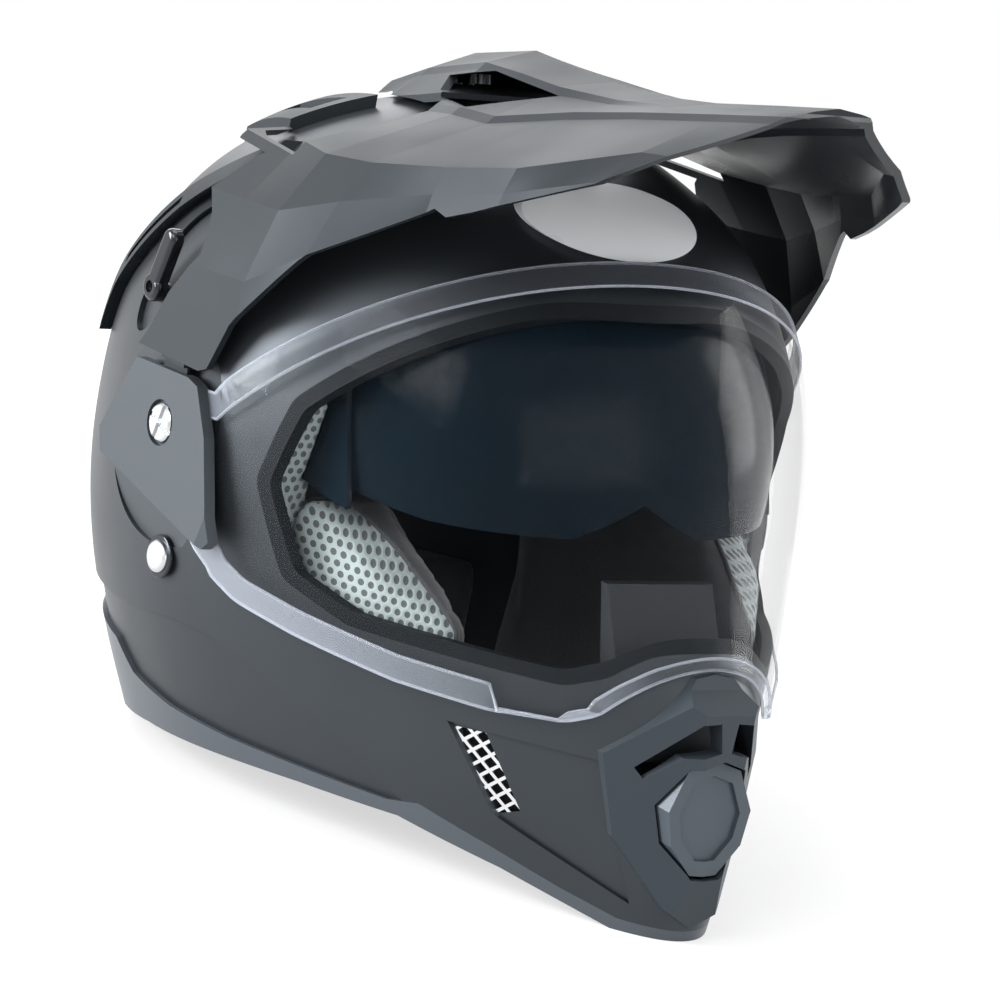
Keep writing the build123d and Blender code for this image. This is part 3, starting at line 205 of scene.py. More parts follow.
# %% Group for honeycomb mesh cloth
rear_share = 0.55
first_cell = 500.0
hole_depth = 0.0008
hole_dent = 0.7
holes_group, holes_in, holes_out = new_group(
    "Honeycomb holes", {"Pitch": 0.0040, "Hole": 0.31},
    {"Hole Mask": "NodeSocketFloat", "Normal": "NodeSocketVector"})
holes_place = add_node(holes_group, "ShaderNodeTexCoord")
holes_axes = add_node(holes_group, "ShaderNodeSeparateXYZ")
holes_group.links.new(holes_place.outputs["Object"], holes_axes.inputs["Vector"])
honeycomb_rise = math.sqrt(3)
side_step = math_node(holes_group, "ABSOLUTE", holes_axes.outputs["X"])
rear_step = math_node(holes_group, "MULTIPLY", holes_axes.outputs["Y"], rear_share)
across = math_node(holes_group, "ADD", side_step, rear_step)
across = math_node(holes_group, "DIVIDE", across, holes_in.outputs["Pitch"])
upward = math_node(holes_group, "DIVIDE", holes_axes.outputs["Z"], holes_in.outputs["Pitch"])
upward = math_node(holes_group, "DIVIDE", upward, honeycomb_rise)
grid_distances = []
for shift in (0.0, 0.5):
    squares = []
    for along, stretch in ((across, 1.0), (upward, honeycomb_rise)):
        moved = math_node(holes_group, "ADD", along, shift + first_cell)
        inside = math_node(holes_group, "FRACT", moved)
        centred = math_node(holes_group, "SUBTRACT", inside, 0.5)
        sized = math_node(holes_group, "MULTIPLY", centred, stretch)
        squares.append(math_node(holes_group, "MULTIPLY", sized, sized))
    grid_distances.append(math_node(holes_group, "ADD", *squares))
nearest = math_node(holes_group, "MINIMUM", *grid_distances)
hole_distance = math_node(holes_group, "SQRT", nearest)
hole_mask = math_node(holes_group, "LESS_THAN", hole_distance, holes_in.outputs["Hole"])
holes_bump = add_node(holes_group, "ShaderNodeBump")
holes_bump.inputs["Distance"].default_value = hole_depth
holes_bump.inputs["Strength"].default_value = hole_dent
holes_group.links.new(hole_distance, holes_bump.inputs["Height"])
holes_group.links.new(hole_mask, holes_out.inputs["Hole Mask"])
holes_group.links.new(holes_bump.outputs["Normal"], holes_out.inputs["Normal"])
print("group", holes_group.name, "has", len(holes_group.nodes), "nodes")

# %% [markdown]
# The hard pieces have finishes of one kind: the shell has a flat lacquer with a broad, soft gleam,
# the peak and covers a fine satin grain, and the trim is smoother. All of them gleam a little
# bluish. Only the values differ, so one helper makes them all, and the silver plate and the pressed
# foam too.

# %% Hard finishes
cool_gleam = (0.80, 0.90, 1.0, 1.0)


def moulded_finish(name, colour, smooth, rough, grain, scale=1400.0, **values):
    """A moulded or lacquered finish with grain and soft patches."""
    material, tree, shader = new_finish(name, Base_Color=(*colour, 1.0),
                                        Specular_Tint=cool_gleam, **values)
    look = place_group(tree, grain_group, Grain_Scale=scale, Grain_Strength=grain, Smooth=smooth,
                       Rough=rough)
    tree.links.new(look.outputs["Normal"], shader.inputs["Normal"])
    tree.links.new(look.outputs["Roughness"], shader.inputs["Roughness"])
    return material


shell_lacquer = moulded_finish(
    "Flat black lacquer", (0.0075, 0.0088, 0.0103), smooth=0.38, rough=0.48, grain=0.04,
    Specular_IOR_Level=0.60)
trim_satin = moulded_finish(
    "Satin rim trim", (0.040, 0.046, 0.053), smooth=0.34, rough=0.44, grain=0.08,
    Specular_IOR_Level=0.60)
chin_satin = moulded_finish(
    "Blue-grey chin plastic", (0.018, 0.023, 0.028), smooth=0.36, rough=0.48, grain=0.12,
    Specular_IOR_Level=0.36)
button_satin = moulded_finish(
    "Paler button plastic", (0.034, 0.042, 0.050), smooth=0.36, rough=0.48, grain=0.12,
    Specular_IOR_Level=0.50)
peak_satin = moulded_finish(
    "Grained peak plastic", (0.009, 0.011, 0.013), smooth=0.46, rough=0.58, grain=0.16,
    Specular_IOR_Level=0.25)
cover_satin = moulded_finish(
    "Grained cover plastic", (0.024, 0.028, 0.032), smooth=0.45, rough=0.58, grain=0.14,
    Specular_IOR_Level=0.45)
gasket_rubber = moulded_finish(
    "Soft port rubber", (0.004, 0.005, 0.006), smooth=0.50, rough=0.65, grain=0.10,
    Specular_IOR_Level=0.20)
gloss_plastic = moulded_finish(
    "Glossy black plastic", (0.006, 0.006, 0.007), smooth=0.12, rough=0.24, grain=0.03)
guard_plastic = moulded_finish(
    "Grey guard plastic", (0.012, 0.013, 0.015), smooth=0.40, rough=0.55, grain=0.12,
    Specular_IOR_Level=0.25)
foam_beads = moulded_finish(
    "Pressed foam beads", (0.005, 0.0055, 0.006), smooth=0.65, rough=0.85, grain=0.5, scale=260.0,
    Specular_IOR_Level=0.12)
plate_silver = moulded_finish(
    "Bare silver plate", (0.90, 0.92, 0.94), smooth=0.24, rough=0.34, grain=0.03, scale=900.0,
    Specular_IOR_Level=0.9)
print("made 11 moulded finishes")

# %% [markdown]
# The mould leaves the peak's underside polished. The surface normal tells the two sides apart:
# where it points down, the roughness drops to half.

# %% Polished underside of the peak
underside_from = (-0.15, -0.45)
underside_roughness = (1.0, 0.50)
scale_by_tilt(peak_satin, "Roughness", underside_from, underside_roughness)
print("polished the underside of", peak_satin.name)

# %% [markdown]
# The screws and rivets are brushed steel and the chin mesh is brighter wire. Both are metals, so
# the colour goes to the reflection and the grain keeps the highlights from looking like a mirror.

# %% Metal finishes
screw_steel = moulded_finish(
    "Brushed screw steel", (0.58, 0.59, 0.60), smooth=0.22, rough=0.38, grain=0.10, scale=900.0,
    Metallic=1.0)
wire_steel = moulded_finish(
    "Bright mesh wire", (0.72, 0.73, 0.74), smooth=0.16, rough=0.28, grain=0.04, Metallic=1.0)
print("made 2 metal finishes")

# %% [markdown]
# Clear plastic is nearly invisible face on and bright at a glancing angle. A see-through Alpha
# that grows towards the edge of the view gives that, and it keeps the inside well lit. The dark
# visor works the same way, and is much denser.

# %% See-through finishes
def sheet_finish(name, colour, facing_alpha, edge_alpha, rough, curve, gleam=0.5):
    """Clear or smoked sheet plastic, which is denser where it is seen at a slant."""
    material, tree, shader = new_finish(name, Base_Color=(*colour, 1.0), Roughness=rough,
                                        IOR=1.55, Specular_IOR_Level=gleam)
    slant = add_node(tree, "ShaderNodeLayerWeight")
    slant.inputs["Blend"].default_value = curve
    spread = map_range(tree, slant.outputs["Facing"], (0.0, 1.0), (facing_alpha, edge_alpha))
    tree.links.new(spread, shader.inputs["Alpha"])
    return material


clear_sheet = sheet_finish(
    "Clear shield sheet", (0.02, 0.024, 0.03), facing_alpha=0.010, edge_alpha=0.26, rough=0.03,
    curve=0.22)
# The shield's edge cords get a pale colour that paints the highlight along the polished edge.
clear_edge_painted_highlight = sheet_finish(
    "Clear shield edge, painted highlight", (0.36, 0.39, 0.45), facing_alpha=0.30, edge_alpha=0.80, rough=0.08,
    curve=0.40)
# The border's pale colour is a painted sheen on the thicker band of the shield.
clear_border_painted_sheen = sheet_finish(
    "Clear shield border, painted sheen", (0.46, 0.50, 0.58), facing_alpha=0.02, edge_alpha=0.14, rough=0.10,
    curve=0.35)
smoke_sheet = sheet_finish(
    "Smoked visor sheet", (0.004, 0.009, 0.014), facing_alpha=0.84, edge_alpha=0.95, rough=0.16,
    curve=0.40, gleam=0.05)
print("made 4 see-through finishes")

# %% [markdown]
# Along its lower run the border of the clear shield gets a painted highlight, standing in for the
# light it catches from below: where its surface points down, its pale colour is made up to seven
# times denser.

# %% Painted highlight on the lower border
lower_run = (0.05, -0.35)
painted_highlight_gain = (1.0, 7.0)
scale_by_tilt(clear_border_painted_sheen, "Alpha", lower_run, painted_highlight_gain)
print("made the lower border denser")

# %% [markdown]
# The lining is brushed cloth: soft sheen, no gloss, and a thread pattern that is too fine to see
# from afar. The cheek pads' sides towards the shell are light mesh cloth with dark holes.

# %% Cloth finishes
def cloth_finish(name, colour, thread, strength, sheen):
    """Lining or webbing cloth with crossed threads and a sheen."""
    material, tree, shader = new_finish(name, Base_Color=(*colour, 1.0), Roughness=0.9,
                                        Sheen_Weight=sheen, Sheen_Roughness=0.5)
    weave = place_group(tree, weave_group, Thread_Scale=thread, Weave_Strength=strength)
    tree.links.new(weave.outputs["Normal"], shader.inputs["Normal"])
    return material


lining_cloth = cloth_finish(
    "Dark lining cloth", (0.014, 0.016, 0.019), thread=420.0, strength=0.35, sheen=0.15)
suede_cloth = cloth_finish(
    "Cheek suede", (0.026, 0.029, 0.034), thread=700.0, strength=0.20, sheen=0.22)
webbing_cloth = cloth_finish(
    "Strap webbing", (0.018, 0.018, 0.020), thread=180.0, strength=0.9, sheen=0.10)
piping_cloth = cloth_finish(
    "Seam piping", (0.030, 0.032, 0.036), thread=500.0, strength=0.4, sheen=0.2)

mesh_cloth, mesh_tree, mesh_shader = new_finish("Light mesh cloth", Roughness=0.85,
                                                Sheen_Weight=0.2)
mesh_look = place_group(mesh_tree, holes_group, Pitch=0.0040, Hole=0.31)
mesh_mix = add_node(mesh_tree, "ShaderNodeMix", data_type="RGBA")
colour_a, colour_b, colour_result = mesh_mix.inputs[6], mesh_mix.inputs[7], mesh_mix.outputs[2]
colour_a.default_value = (0.26, 0.31, 0.31, 1.0)
colour_b.default_value = (0.05, 0.06, 0.065, 1.0)
mesh_tree.links.new(mesh_look.outputs["Hole Mask"], mesh_mix.inputs["Factor"])
mesh_tree.links.new(colour_result, mesh_shader.inputs["Base Color"])
mesh_tree.links.new(mesh_look.outputs["Normal"], mesh_shader.inputs["Normal"])
print("made 5 cloth finishes")

# %% [markdown]
# Each piece gets its finish by name. The list goes from the shell and what is fixed on it to the
# foam and the padding inside.

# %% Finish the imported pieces
def cover_with(piece, finish):
    """Gives a piece one finish in place of any others."""
    piece.data.materials.clear()
    piece.data.materials.append(finish)


piece_finishes = {
    shell_lacquer: ("outer_shell",),
    trim_satin: ("base_trim",),
    chin_satin: ("chin_vent_surround",),
    button_satin: ("chin_vent_button",),
    plate_silver: ("brow_plate",),
    cover_satin: ("side_cover_left", "side_cover_right"),
    gasket_rubber: ("eye_port_gasket",),
    clear_sheet: ("face_shield",),
    smoke_sheet: ("sun_visor",),
    peak_satin: ("peak", "rear_vent_left", "rear_vent_right", "crown_vent_left",
                 "crown_vent_right"),
    gloss_plastic: ("pivot_disc_left", "pivot_disc_right", "rivet_washers", "thumb_screw",
                    "sun_visor_pivot_left", "sun_visor_pivot_right", "sun_visor_lever",
                    "buckle_lever", "strap_tongue"),
    screw_steel: ("cover_screws", "cover_nuts", "strap_rivets", "screw_insert", "lever_pin",
                  "strap_buckle"),
    wire_steel: ("chin_mesh_left", "chin_mesh_right"),
    foam_beads: ("crown_foam", "chin_foam"),
    guard_plastic: ("breath_guard",),
    lining_cloth: ("crown_pad", "neck_roll", "strap_pad_left", "strap_pad_right"),
    suede_cloth: ("cheek_pad_left", "cheek_pad_right"),
    webbing_cloth: ("chin_strap_left", "chin_strap_right"),
}
finished = 0
for finish, names in piece_finishes.items():
    for name in names:
        cover_with(nodes[name], finish)
        finished += 1
print("finished", finished, "of", len(nodes), "pieces")

# %% [markdown]
# A sewn pad is fuller in the middle than at its seams. The plain solid is copied, made into even
# squares, blown up a little like a cushion with cloth pressure, and smoothed. How far a point may
# move is capped, so the pad still fits between the shell and the face.

# %% Helpers for the soft pieces
cloth_steps = 20


def new_object(name, data):
    """A new object in the scene."""
    thing = bpy.data.objects.new(name, data)
    bpy.context.scene.collection.objects.link(thing)
    return thing


def applied(thing):
    """The mesh of an object with its modifiers applied, as new data."""
    depsgraph = bpy.context.evaluated_depsgraph_get()
    return bpy.data.meshes.new_from_object(thing.evaluated_get(depsgraph))


def swap_mesh(thing, mesh):
    """Gives an object its applied mesh and takes its modifiers off."""
    thing.modifiers.clear()
    thing.data = mesh


def copy_solid(node, name, voxel, smoothing):
    """A copy of a plain solid in even faces, with its corners softened."""
    piece = new_object(name, nodes[node].data.copy())
    remesh = piece.modifiers.new("even faces", "REMESH")
    remesh.mode = "VOXEL"
    remesh.voxel_size = voxel
    smooth = piece.modifiers.new("soft corners", "SMOOTH")
    smooth.factor = 0.5
    smooth.iterations = smoothing
    bpy.context.view_layer.update()
    swap_mesh(piece, applied(piece))
    return piece


def mesh_points_of(piece):
    """The points of a piece's mesh as rows of x, y, z."""
    points = np.empty(len(piece.data.vertices) * 3)
    piece.data.vertices.foreach_get("co", points)
    return points.reshape(-1, 3)


def set_points(piece, points):
    """Puts the points back into a piece's mesh."""
    piece.data.vertices.foreach_set("co", points.ravel())
    piece.data.update()


def swell(piece, pressure, most):
    """Blows a piece up like a cushion, and moves no point further than most."""
    before = mesh_points_of(piece)
    cloth = piece.modifiers.new("stuffing", "CLOTH")
    cloth.settings.use_pressure = True
    cloth.settings.uniform_pressure_force = pressure
    cloth.settings.effector_weights.gravity = 0.0
    cloth.settings.quality = 5
    for step in range(1, cloth_steps + 1):
        bpy.context.scene.frame_set(step)
    swap_mesh(piece, applied(piece))
    bpy.context.scene.frame_set(1)
    moved = mesh_points_of(piece) - before
    length = np.linalg.norm(moved, axis=1, keepdims=True)
    set_points(piece, before + moved * np.minimum(1.0, most / np.maximum(length, 1e-9)))


def shade_smooth(piece):
    """Lets the light run smoothly over a piece's faces."""
    for face in piece.data.polygons:
        face.use_smooth = True


def finish_soft(piece, body, slot, fill, *replaced):
    """Smooths a soft piece, sets its place among the bodies, and says what it stands for."""
    shade_smooth(piece)
    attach(piece, body)
    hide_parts(*replaced)
    size = [round(1000 * (high - low)) for low, high in zip(*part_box(replaced[0]))]
    print(piece.name, "stands for", *replaced, "with", len(piece.data.polygons), "faces, mm",
          size)


# %% [markdown]
# A seam or a bright edge is a round cord along a closed loop of points. The points come from a walk
# along a mesh's edges, such as the cut where the two cloths of a pad meet.

# %% Helpers for seams
seam_radius = 0.0011
cut_tolerance = 1e-6


def seam_line(name, loop, body, material, radius=seam_radius):
    """A closed round cord sewn along a loop of points."""
    curve = bpy.data.curves.new(name, "CURVE")
    curve.dimensions = "3D"
    curve.bevel_depth = radius
    curve.bevel_resolution = 2
    spline = curve.splines.new("POLY")
    spline.points.add(len(loop) - 1)
    for point, place in zip(spline.points, loop):
        point.co = (*place, 1.0)
    spline.use_cyclic_u = True
    curve.materials.append(material)
    line = new_object(name, curve)
    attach(line, body)


def edge_loops(edges):
    """Closed loops of points, walked along bmesh edges, always from the first edge left."""
    left = dict.fromkeys(edges)
    loops = []
    while left:
        edge = next(iter(left))
        del left[edge]
        start, here = edge.verts
        loop = [start, here]
        while here is not start:
            following = [e for e in here.link_edges if e in left]
            if not following:
                break
            del left[following[0]]
            here = following[0].other_vert(here)
            loop.append(here)
        loops.append([vert.co.copy() for vert in loop[:-1]])
    return sorted(loops, key=len, reverse=True)


def part_cloths(piece, cut_at, cut_normal, far_material):
    """Cuts a pad's faces along a plane, gives those past it their cloth, and returns the seams."""
    shape = bmesh.new()
    shape.from_mesh(piece.data)
    cut = bmesh.ops.bisect_plane(shape, geom=shape.verts[:] + shape.edges[:] + shape.faces[:],
                                 plane_co=cut_at, plane_no=cut_normal, dist=cut_tolerance)
    seam = [e for e in cut["geom_cut"] if isinstance(e, bmesh.types.BMEdge)]
    loops = edge_loops(seam)
    piece.data.materials.append(far_material)
    for face in shape.faces:
        if (face.calc_center_median() - cut_at).dot(cut_normal) > 0:
            face.material_index = 1
    shape.to_mesh(piece.data)
    shape.free()
    return loops


# %% [markdown]
# The cheek pads are firm foam. Dark suede lies against the face, and light mesh cloth covers the
# side towards the shell. A flat cut parts the two cloths, and piping is sewn into that seam.

# %% Cheek pads
cloth_seam = (0.074, -0.060, 0.110)
seam_facing = (1.0, -0.28, 0.10)
cheek_pressure = 3.0
most_swelling = 0.003
for side, sign in (("left", 1), ("right", -1)):
    node = f"cheek_pad_{side}"
    pad = copy_solid(node, f"cheek_cushion_{side}", voxel=0.0035, smoothing=6)
    cover_with(pad, suede_cloth)
    swell(pad, cheek_pressure, most_swelling)
    cut_at = Vector((sign * cloth_seam[0], *cloth_seam[1:]))
    cut_normal = Vector((sign * seam_facing[0], *seam_facing[1:])).normalized()
    seams = part_cloths(pad, cut_at, cut_normal, mesh_cloth)
    finish_soft(pad, "shell", "pad_cloth", 0.9, node)
    seam_line(f"cheek_piping_{side}", seams[0], "shell", piping_cloth)

# %% [markdown]
# Small cushions of the same mesh cloth close the rear edge of the eye port. They lie on the foam,
# so each one starts as the foam's own faces there, thickened outwards and rounded. The slot that
# the dark visor swings through stays open, because the foam has no faces in it.

# %% Temple cushions
temple_thickness = 0.0032
temple_outward = 0.8
temple_faces = 0.0014
temple_rounding = 8
weld_distance = 1e-5
forward_limit = -0.45
temple_room = {"near": 0.074, "far": 0.112, "low": 0.084, "high": 0.160, "front": -0.042,
               "rear": -0.006}


def temple_cushion(side, sign):
    """A thin mesh cloth cushion on the foam's forward faces beside the eye port."""
    shape = bmesh.new()
    shape.from_mesh(nodes["crown_foam"].data)
    bmesh.ops.remove_doubles(shape, verts=shape.verts[:], dist=weld_distance)
    for place, normal in ((Vector((sign * temple_room["near"], 0, 0)), Vector((-sign, 0, 0))),
                          (Vector((sign * temple_room["far"], 0, 0)), Vector((sign, 0, 0))),
                          (Vector((0, 0, temple_room["low"])), Vector((0, 0, -1))),
                          (Vector((0, 0, temple_room["high"])), Vector((0, 0, 1))),
                          (Vector((0, temple_room["front"], 0)), Vector((0, -1, 0))),
                          (Vector((0, temple_room["rear"], 0)), Vector((0, 1, 0)))):
        bmesh.ops.bisect_plane(shape, geom=shape.verts[:] + shape.edges[:] + shape.faces[:],
                               plane_co=place, plane_no=normal, clear_outer=True,
                               dist=cut_tolerance)
    shape.normal_update()
    away = [face for face in shape.faces if face.normal.y > forward_limit]
    bmesh.ops.delete(shape, geom=away, context="FACES")
    mesh = bpy.data.meshes.new(f"temple_cushion_{side}")
    shape.to_mesh(mesh)
    shape.free()
    piece = new_object(f"temple_cushion_{side}", mesh)
    thick = piece.modifiers.new("stuffing", "SOLIDIFY")
    thick.thickness = temple_thickness
    thick.offset = temple_outward
    even = piece.modifiers.new("even faces", "REMESH")
    even.mode = "VOXEL"
    even.voxel_size = temple_faces
    soft = piece.modifiers.new("soft corners", "SMOOTH")
    soft.iterations = temple_rounding
    bpy.context.view_layer.update()
    swap_mesh(piece, applied(piece))
    cover_with(piece, mesh_cloth)
    shade_smooth(piece)
    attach(piece, "shell")
    print(piece.name, "has", len(piece.data.polygons), "faces")


for side, sign in (("left", 1), ("right", -1)):
    temple_cushion(side, sign)

# %% [markdown]
# The crown pad hangs in the top of the shell. Its lining is sewn in narrow channels that run from
# front to back, so its points are pressed in along sharp valleys, with rounded ribs between them.

# %% Crown pad
channel_pitch = 0.013
channel_depth = 0.0022
crown = copy_solid("crown_pad", "crown_lining", voxel=0.003, smoothing=4)
cover_with(crown, lining_cloth)
points = mesh_points_of(crown)
normals = np.empty(len(points) * 3)
crown.data.vertices.foreach_get("normal", normals)
normals = normals.reshape(-1, 3)
rib = np.abs(np.sin(np.pi * points[:, :1] / channel_pitch)) - 1.0
set_points(crown, points + normals * rib * channel_depth)
finish_soft(crown, "shell", "pad_cloth", 0.8, "crown_pad")

# %% [markdown]
# The neck roll closes the rim behind the ears, and a soft pad lies along each half of the strap.
# All three are stuffed and blown up. The strap pads are thin, so their points may move less.

# %% Neck roll and strap pads
roll_pressure = 4.0
for node, name, voxel, fill, most in (
        ("neck_roll", "neck_cushion", 0.004, 0.85, 0.003),
        ("strap_pad_left", "strap_cushion_left", 0.0016, 0.6, 0.0012),
        ("strap_pad_right", "strap_cushion_right", 0.0016, 0.6, 0.0012)):
    cushion = copy_solid(node, name, voxel, smoothing=5)
    cover_with(cushion, lining_cloth)
    swell(cushion, roll_pressure, most)
    finish_soft(cushion, "shell", "pad_cloth", fill, node)

# %% [markdown]
# The strap is woven webbing. It is flat and firm, so the solid's shape is right, and it only needs
# soft edges and the weave.

# %% Chin strap webbing
for side in ("left", "right"):
    node = f"chin_strap_{side}"
    web = copy_solid(node, f"strap_web_{side}", voxel=0.0009, smoothing=2)
    cover_with(web, webbing_cloth)
    finish_soft(web, "shell", "webbing", None, node)

# %% [markdown]
# Lines on a shield are found in three steps. The rim of its outer faces is walked along, points are
# set on it at even steps, and a second line is the first one moved inwards over the surface.

# %% Helpers for lines on the shield
outward_limit = 0.45
neighbour = 3


def outer_loops(node, heart):
    """The loops round a node's outer faces, each point with its surface normal, and a tree."""
    shape = bmesh.new()
    shape.from_mesh(nodes[node].data)
    bmesh.ops.remove_doubles(shape, verts=shape.verts[:], dist=weld_distance)
    shape.normal_update()
    outer = {f for f in shape.faces
             if f.normal.dot((f.calc_center_median() - heart).normalized()) > outward_limit}
    rims = [e for e in shape.edges if len([f for f in e.link_faces if f in outer]) == 1]
    loops = edge_loops(rims)
    bmesh.ops.delete(shape, geom=[f for f in shape.faces if f not in outer], context="FACES")
    tree = BVHTree.FromBMesh(shape)
    shape.free()
    return loops, tree


def even_loop(loop, step):
    """A loop with points at even steps along it."""
    total = [0.0]
    ring = loop + [loop[0]]
    for near, far in zip(ring, ring[1:]):
        total.append(total[-1] + (far - near).length)
    count = max(8, int(total[-1] / step))
    evened = []
    index = 0
    for number in range(count):
        along = total[-1] * number / count
        while total[index + 1] < along:
            index += 1
        share = (along - total[index]) / max(total[index + 1] - total[index], 1e-9)
        evened.append(ring[index].lerp(ring[index + 1], share))
    return evened


def inset_loop(loop, tree, inset):
    """A loop moved inwards over the surface, and laid on it again."""
    moved = []
    for number, place in enumerate(loop):
        before = loop[number - neighbour]
        after = loop[(number + neighbour) % len(loop)]
        normal = tree.find_nearest(place)[1]
        inward = normal.cross(after - before).normalized()
        trial = tree.find_nearest(place + inward * inset)[0]
        other = tree.find_nearest(place - inward * inset)[0]
        if (other - place).length > (trial - place).length:
            trial = other
        moved.append(trial)
    return moved


# %% [markdown]
# A moulded shield has a polished edge, and a step runs along inside it, where the sheet is thinner.
# Both are thin round cords that move with the shield, and their pale colour is a painted highlight,
# standing in for the light a polished edge catches. They start at the highest point of the rim, so
# that both sides of the shield get the same points.

# %% Shield edge and step
edge_radius = 0.0006
edge_step = 0.004
step_inset = 0.0095
shield_heart = Vector((0.0, 0.03, 0.14))
shield_loops, shield_tree = outer_loops("face_shield", shield_heart)
rim = shield_loops[0]
top = max(range(len(rim)), key=lambda index: rim[index].z)
edge_loop = even_loop(rim[top:] + rim[:top], edge_step)
step_loop = inset_loop(edge_loop, shield_tree, step_inset)
for name, loop in (("shield_bright_edge", edge_loop), ("shield_step", step_loop)):
    seam_line(name, loop, "face_shield", clear_edge_painted_highlight, radius=edge_radius)
print("shield edge of", len(edge_loop), "points;", len(shield_loops), "loops found")

# %% [markdown]
# Between the edge and the step the sheet is thicker. A thin strip joins the two lines there, and
# its pale colour is a painted sheen, standing in for the light this band catches. It is a ladder of
# four-sided faces, lifted a little off the sheet, with a thickness.

# %% Pale border of the shield, with a painted sheen
border_lift = 0.0007
border_thickness = 0.0003
ladder = bmesh.new()
rungs = [(ladder.verts.new(outer), ladder.verts.new(inner))
         for outer, inner in zip(edge_loop, step_loop)]
for near, far in zip(rungs, rungs[1:] + rungs[:1]):
    ladder.faces.new((near[0], far[0], far[1], near[1]))
ladder.normal_update()
for corner in ladder.verts:
    corner.co += (corner.co - shield_heart).normalized() * border_lift
border_mesh = bpy.data.meshes.new("shield_border")
ladder.to_mesh(border_mesh)
ladder.free()
border = new_object("shield_border", border_mesh)
border_mesh.materials.append(clear_border_painted_sheen)
border_wall = border.modifiers.new("sheet", "SOLIDIFY")
border_wall.thickness = border_thickness
border_wall.offset = 0.0
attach(border, "face_shield")
print("shield border of", len(border_mesh.polygons), "faces")

# %% [markdown]
# The helmet stands on a plain pale floor. To the camera, and in reflections, part of the floor's
# light is its own glow. Near the helmet that part is smaller, so the shadow still shows, and
# further off the floor is all white, as in a studio.

# %% Floor
reach = 9.0
fade_distances = (0.35, 1.6)
glow_shares = (0.6, 1.0)
floor_mesh = bpy.data.meshes.new("studio_floor")
floor_mesh.from_pydata([(-reach, -reach, 0), (reach, -reach, 0), (reach, reach, 0),
                        (-reach, reach, 0)], [], [(0, 1, 2, 3)])
floor = new_object("studio_floor", floor_mesh)
floor_paint, floor_tree, floor_shader = new_finish(
    "Pale floor paper", Base_Color=(0.86, 0.86, 0.86, 1.0), Roughness=0.9)
floor_glow = add_node(floor_tree, "ShaderNodeEmission")
floor_place = add_node(floor_tree, "ShaderNodeTexCoord")
floor_reach = add_node(floor_tree, "ShaderNodeVectorMath", operation="LENGTH")
floor_tree.links.new(floor_place.outputs["Object"], floor_reach.inputs[0])
floor_fade = map_range(floor_tree, floor_reach.outputs["Value"], fade_distances, glow_shares)
glow_share = math_node(floor_tree, "MULTIPLY", seen_share(floor_tree), floor_fade)
floor_blend = add_node(floor_tree, "ShaderNodeMixShader")
floor_tree.links.new(glow_share, floor_blend.inputs["Fac"])
floor_tree.links.new(floor_shader.outputs["BSDF"], floor_blend.inputs[1])
floor_tree.links.new(floor_glow.outputs["Emission"], floor_blend.inputs[2])
floor_tree.links.new(floor_blend.outputs["Shader"],
                     floor_tree.nodes["Material Output"].inputs["Surface"])
floor_mesh.materials.append(floor_paint)
print("floor", 2 * reach, "m wide")

# %% [markdown]
# A black object shows by what it reflects. Large soft lamps stand round it. The strongest stands on
# the wearer's right and behind, at the left of the picture, so that side is palest and the light
# fades towards the front.

# %% Lights
lamps_look_at = Vector((0.0, 0.0, 0.16))


def soft_lamp(name, place, size, power):
    """An area lamp that faces the helmet."""
    light = bpy.data.lights.new(name, "AREA")
    light.shape = "RECTANGLE"
    light.size, light.size_y = size
    light.energy = power
    lamp = new_object(name, light)
    lamp.location = place
    away = Vector(place) - lamps_look_at
    lamp.rotation_euler = away.to_track_quat("Z", "Y").to_euler()


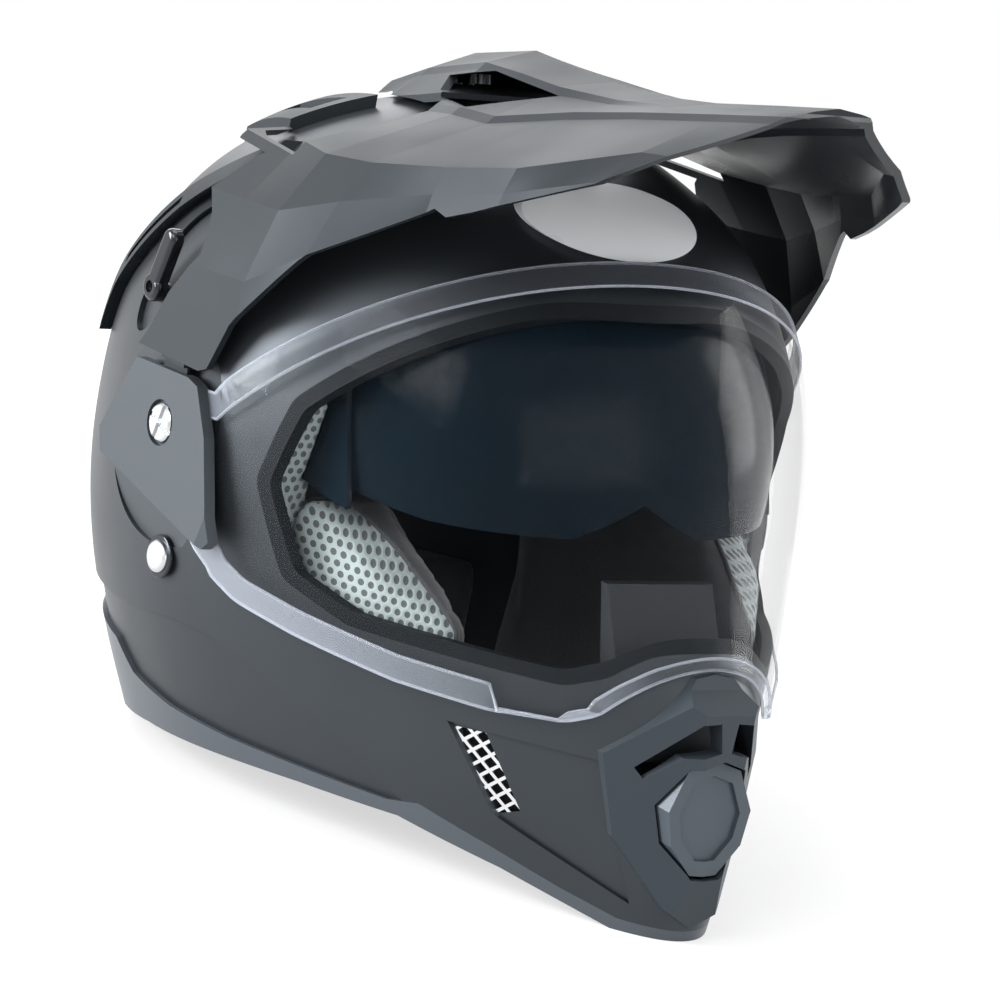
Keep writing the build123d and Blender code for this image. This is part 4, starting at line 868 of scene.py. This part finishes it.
lamps = (
    ("side_lamp", (-2.3, 1.3, 0.7), (1.4, 1.8), 190),
    ("key_lamp", (-2.2, -0.9, 1.7), (1.6, 1.2), 42),
    ("top_lamp", (0.1, 0.3, 2.4), (2.2, 1.6), 40),
    ("front_lamp", (0.6, -2.6, 0.8), (2.4, 1.6), 32),
    ("right_lamp", (2.2, -0.4, 0.7), (0.8, 1.4), 26),
    ("rear_lamp", (0.8, 2.3, 1.2), (1.8, 1.0), 20),
)
for lamp_values in lamps:
    soft_lamp(*lamp_values)
print("lamps", len(lamps))

# %% [markdown]
# The air round the helmet is white to the camera and in reflections. As a light it is dimmer, so
# the lamps still model the shape.

# %% Air
air_strengths = (0.42, 1.0)
world = bpy.data.worlds.new("studio_air")
bpy.context.scene.world = world
world.use_nodes = True
air_tree = world.node_tree
air = air_tree.nodes["Background"]
air.inputs["Color"].default_value = (1.0, 1.0, 1.0, 1.0)
air_strength = map_range(air_tree, seen_share(air_tree), (0.0, 1.0), air_strengths)
air_tree.links.new(air_strength, air.inputs["Strength"])
print("air", world.name, "has", len(air_tree.nodes), "nodes")

# %% [markdown]
# The camera stands two metres off, in front and to the wearer's right, with a long lens. It is
# leaned over by the angle at which the helmet was tipped for its picture, so the framing is the
# same while the helmet stands level.

# %% Camera
lean = math.radians(16.5)
turn = math.radians(-36.0)
roll = math.radians(0.9)
distance = 2.0
aim = Vector((0.0, -0.0125, 0.118))
focal_pixels = 5300.0
picture_pixels = 1000.0
sensor_width = 36.0


def leaned(direction):
    """A direction of the picture's upright frame, in the helmet's frame."""
    x, y, z = direction
    return Vector((x, y * math.cos(lean) + z * math.sin(lean),
                   -y * math.sin(lean) + z * math.cos(lean)))


right = leaned((math.cos(turn), math.sin(turn), 0.0))
upward_line = leaned((0.0, 0.0, 1.0))
backward = leaned((math.sin(turn), -math.cos(turn), 0.0))
rolled_right = right * math.cos(roll) + upward_line * math.sin(roll)
rolled_up = upward_line * math.cos(roll) - right * math.sin(roll)
lens = bpy.data.cameras.new("studio_camera")
lens.sensor_width = sensor_width
lens.lens = focal_pixels / picture_pixels * sensor_width
camera = new_object("studio_camera", lens)
place = aim + backward * distance
camera.matrix_world = Matrix.Translation(place) @ Matrix(
    (rolled_right, rolled_up, backward)).transposed().to_4x4()
bpy.context.scene.camera = camera
bpy.context.scene.view_settings.view_transform = "Standard"
print("camera", [round(value, 3) for value in place], "lens", round(lens.lens, 1), "mm")
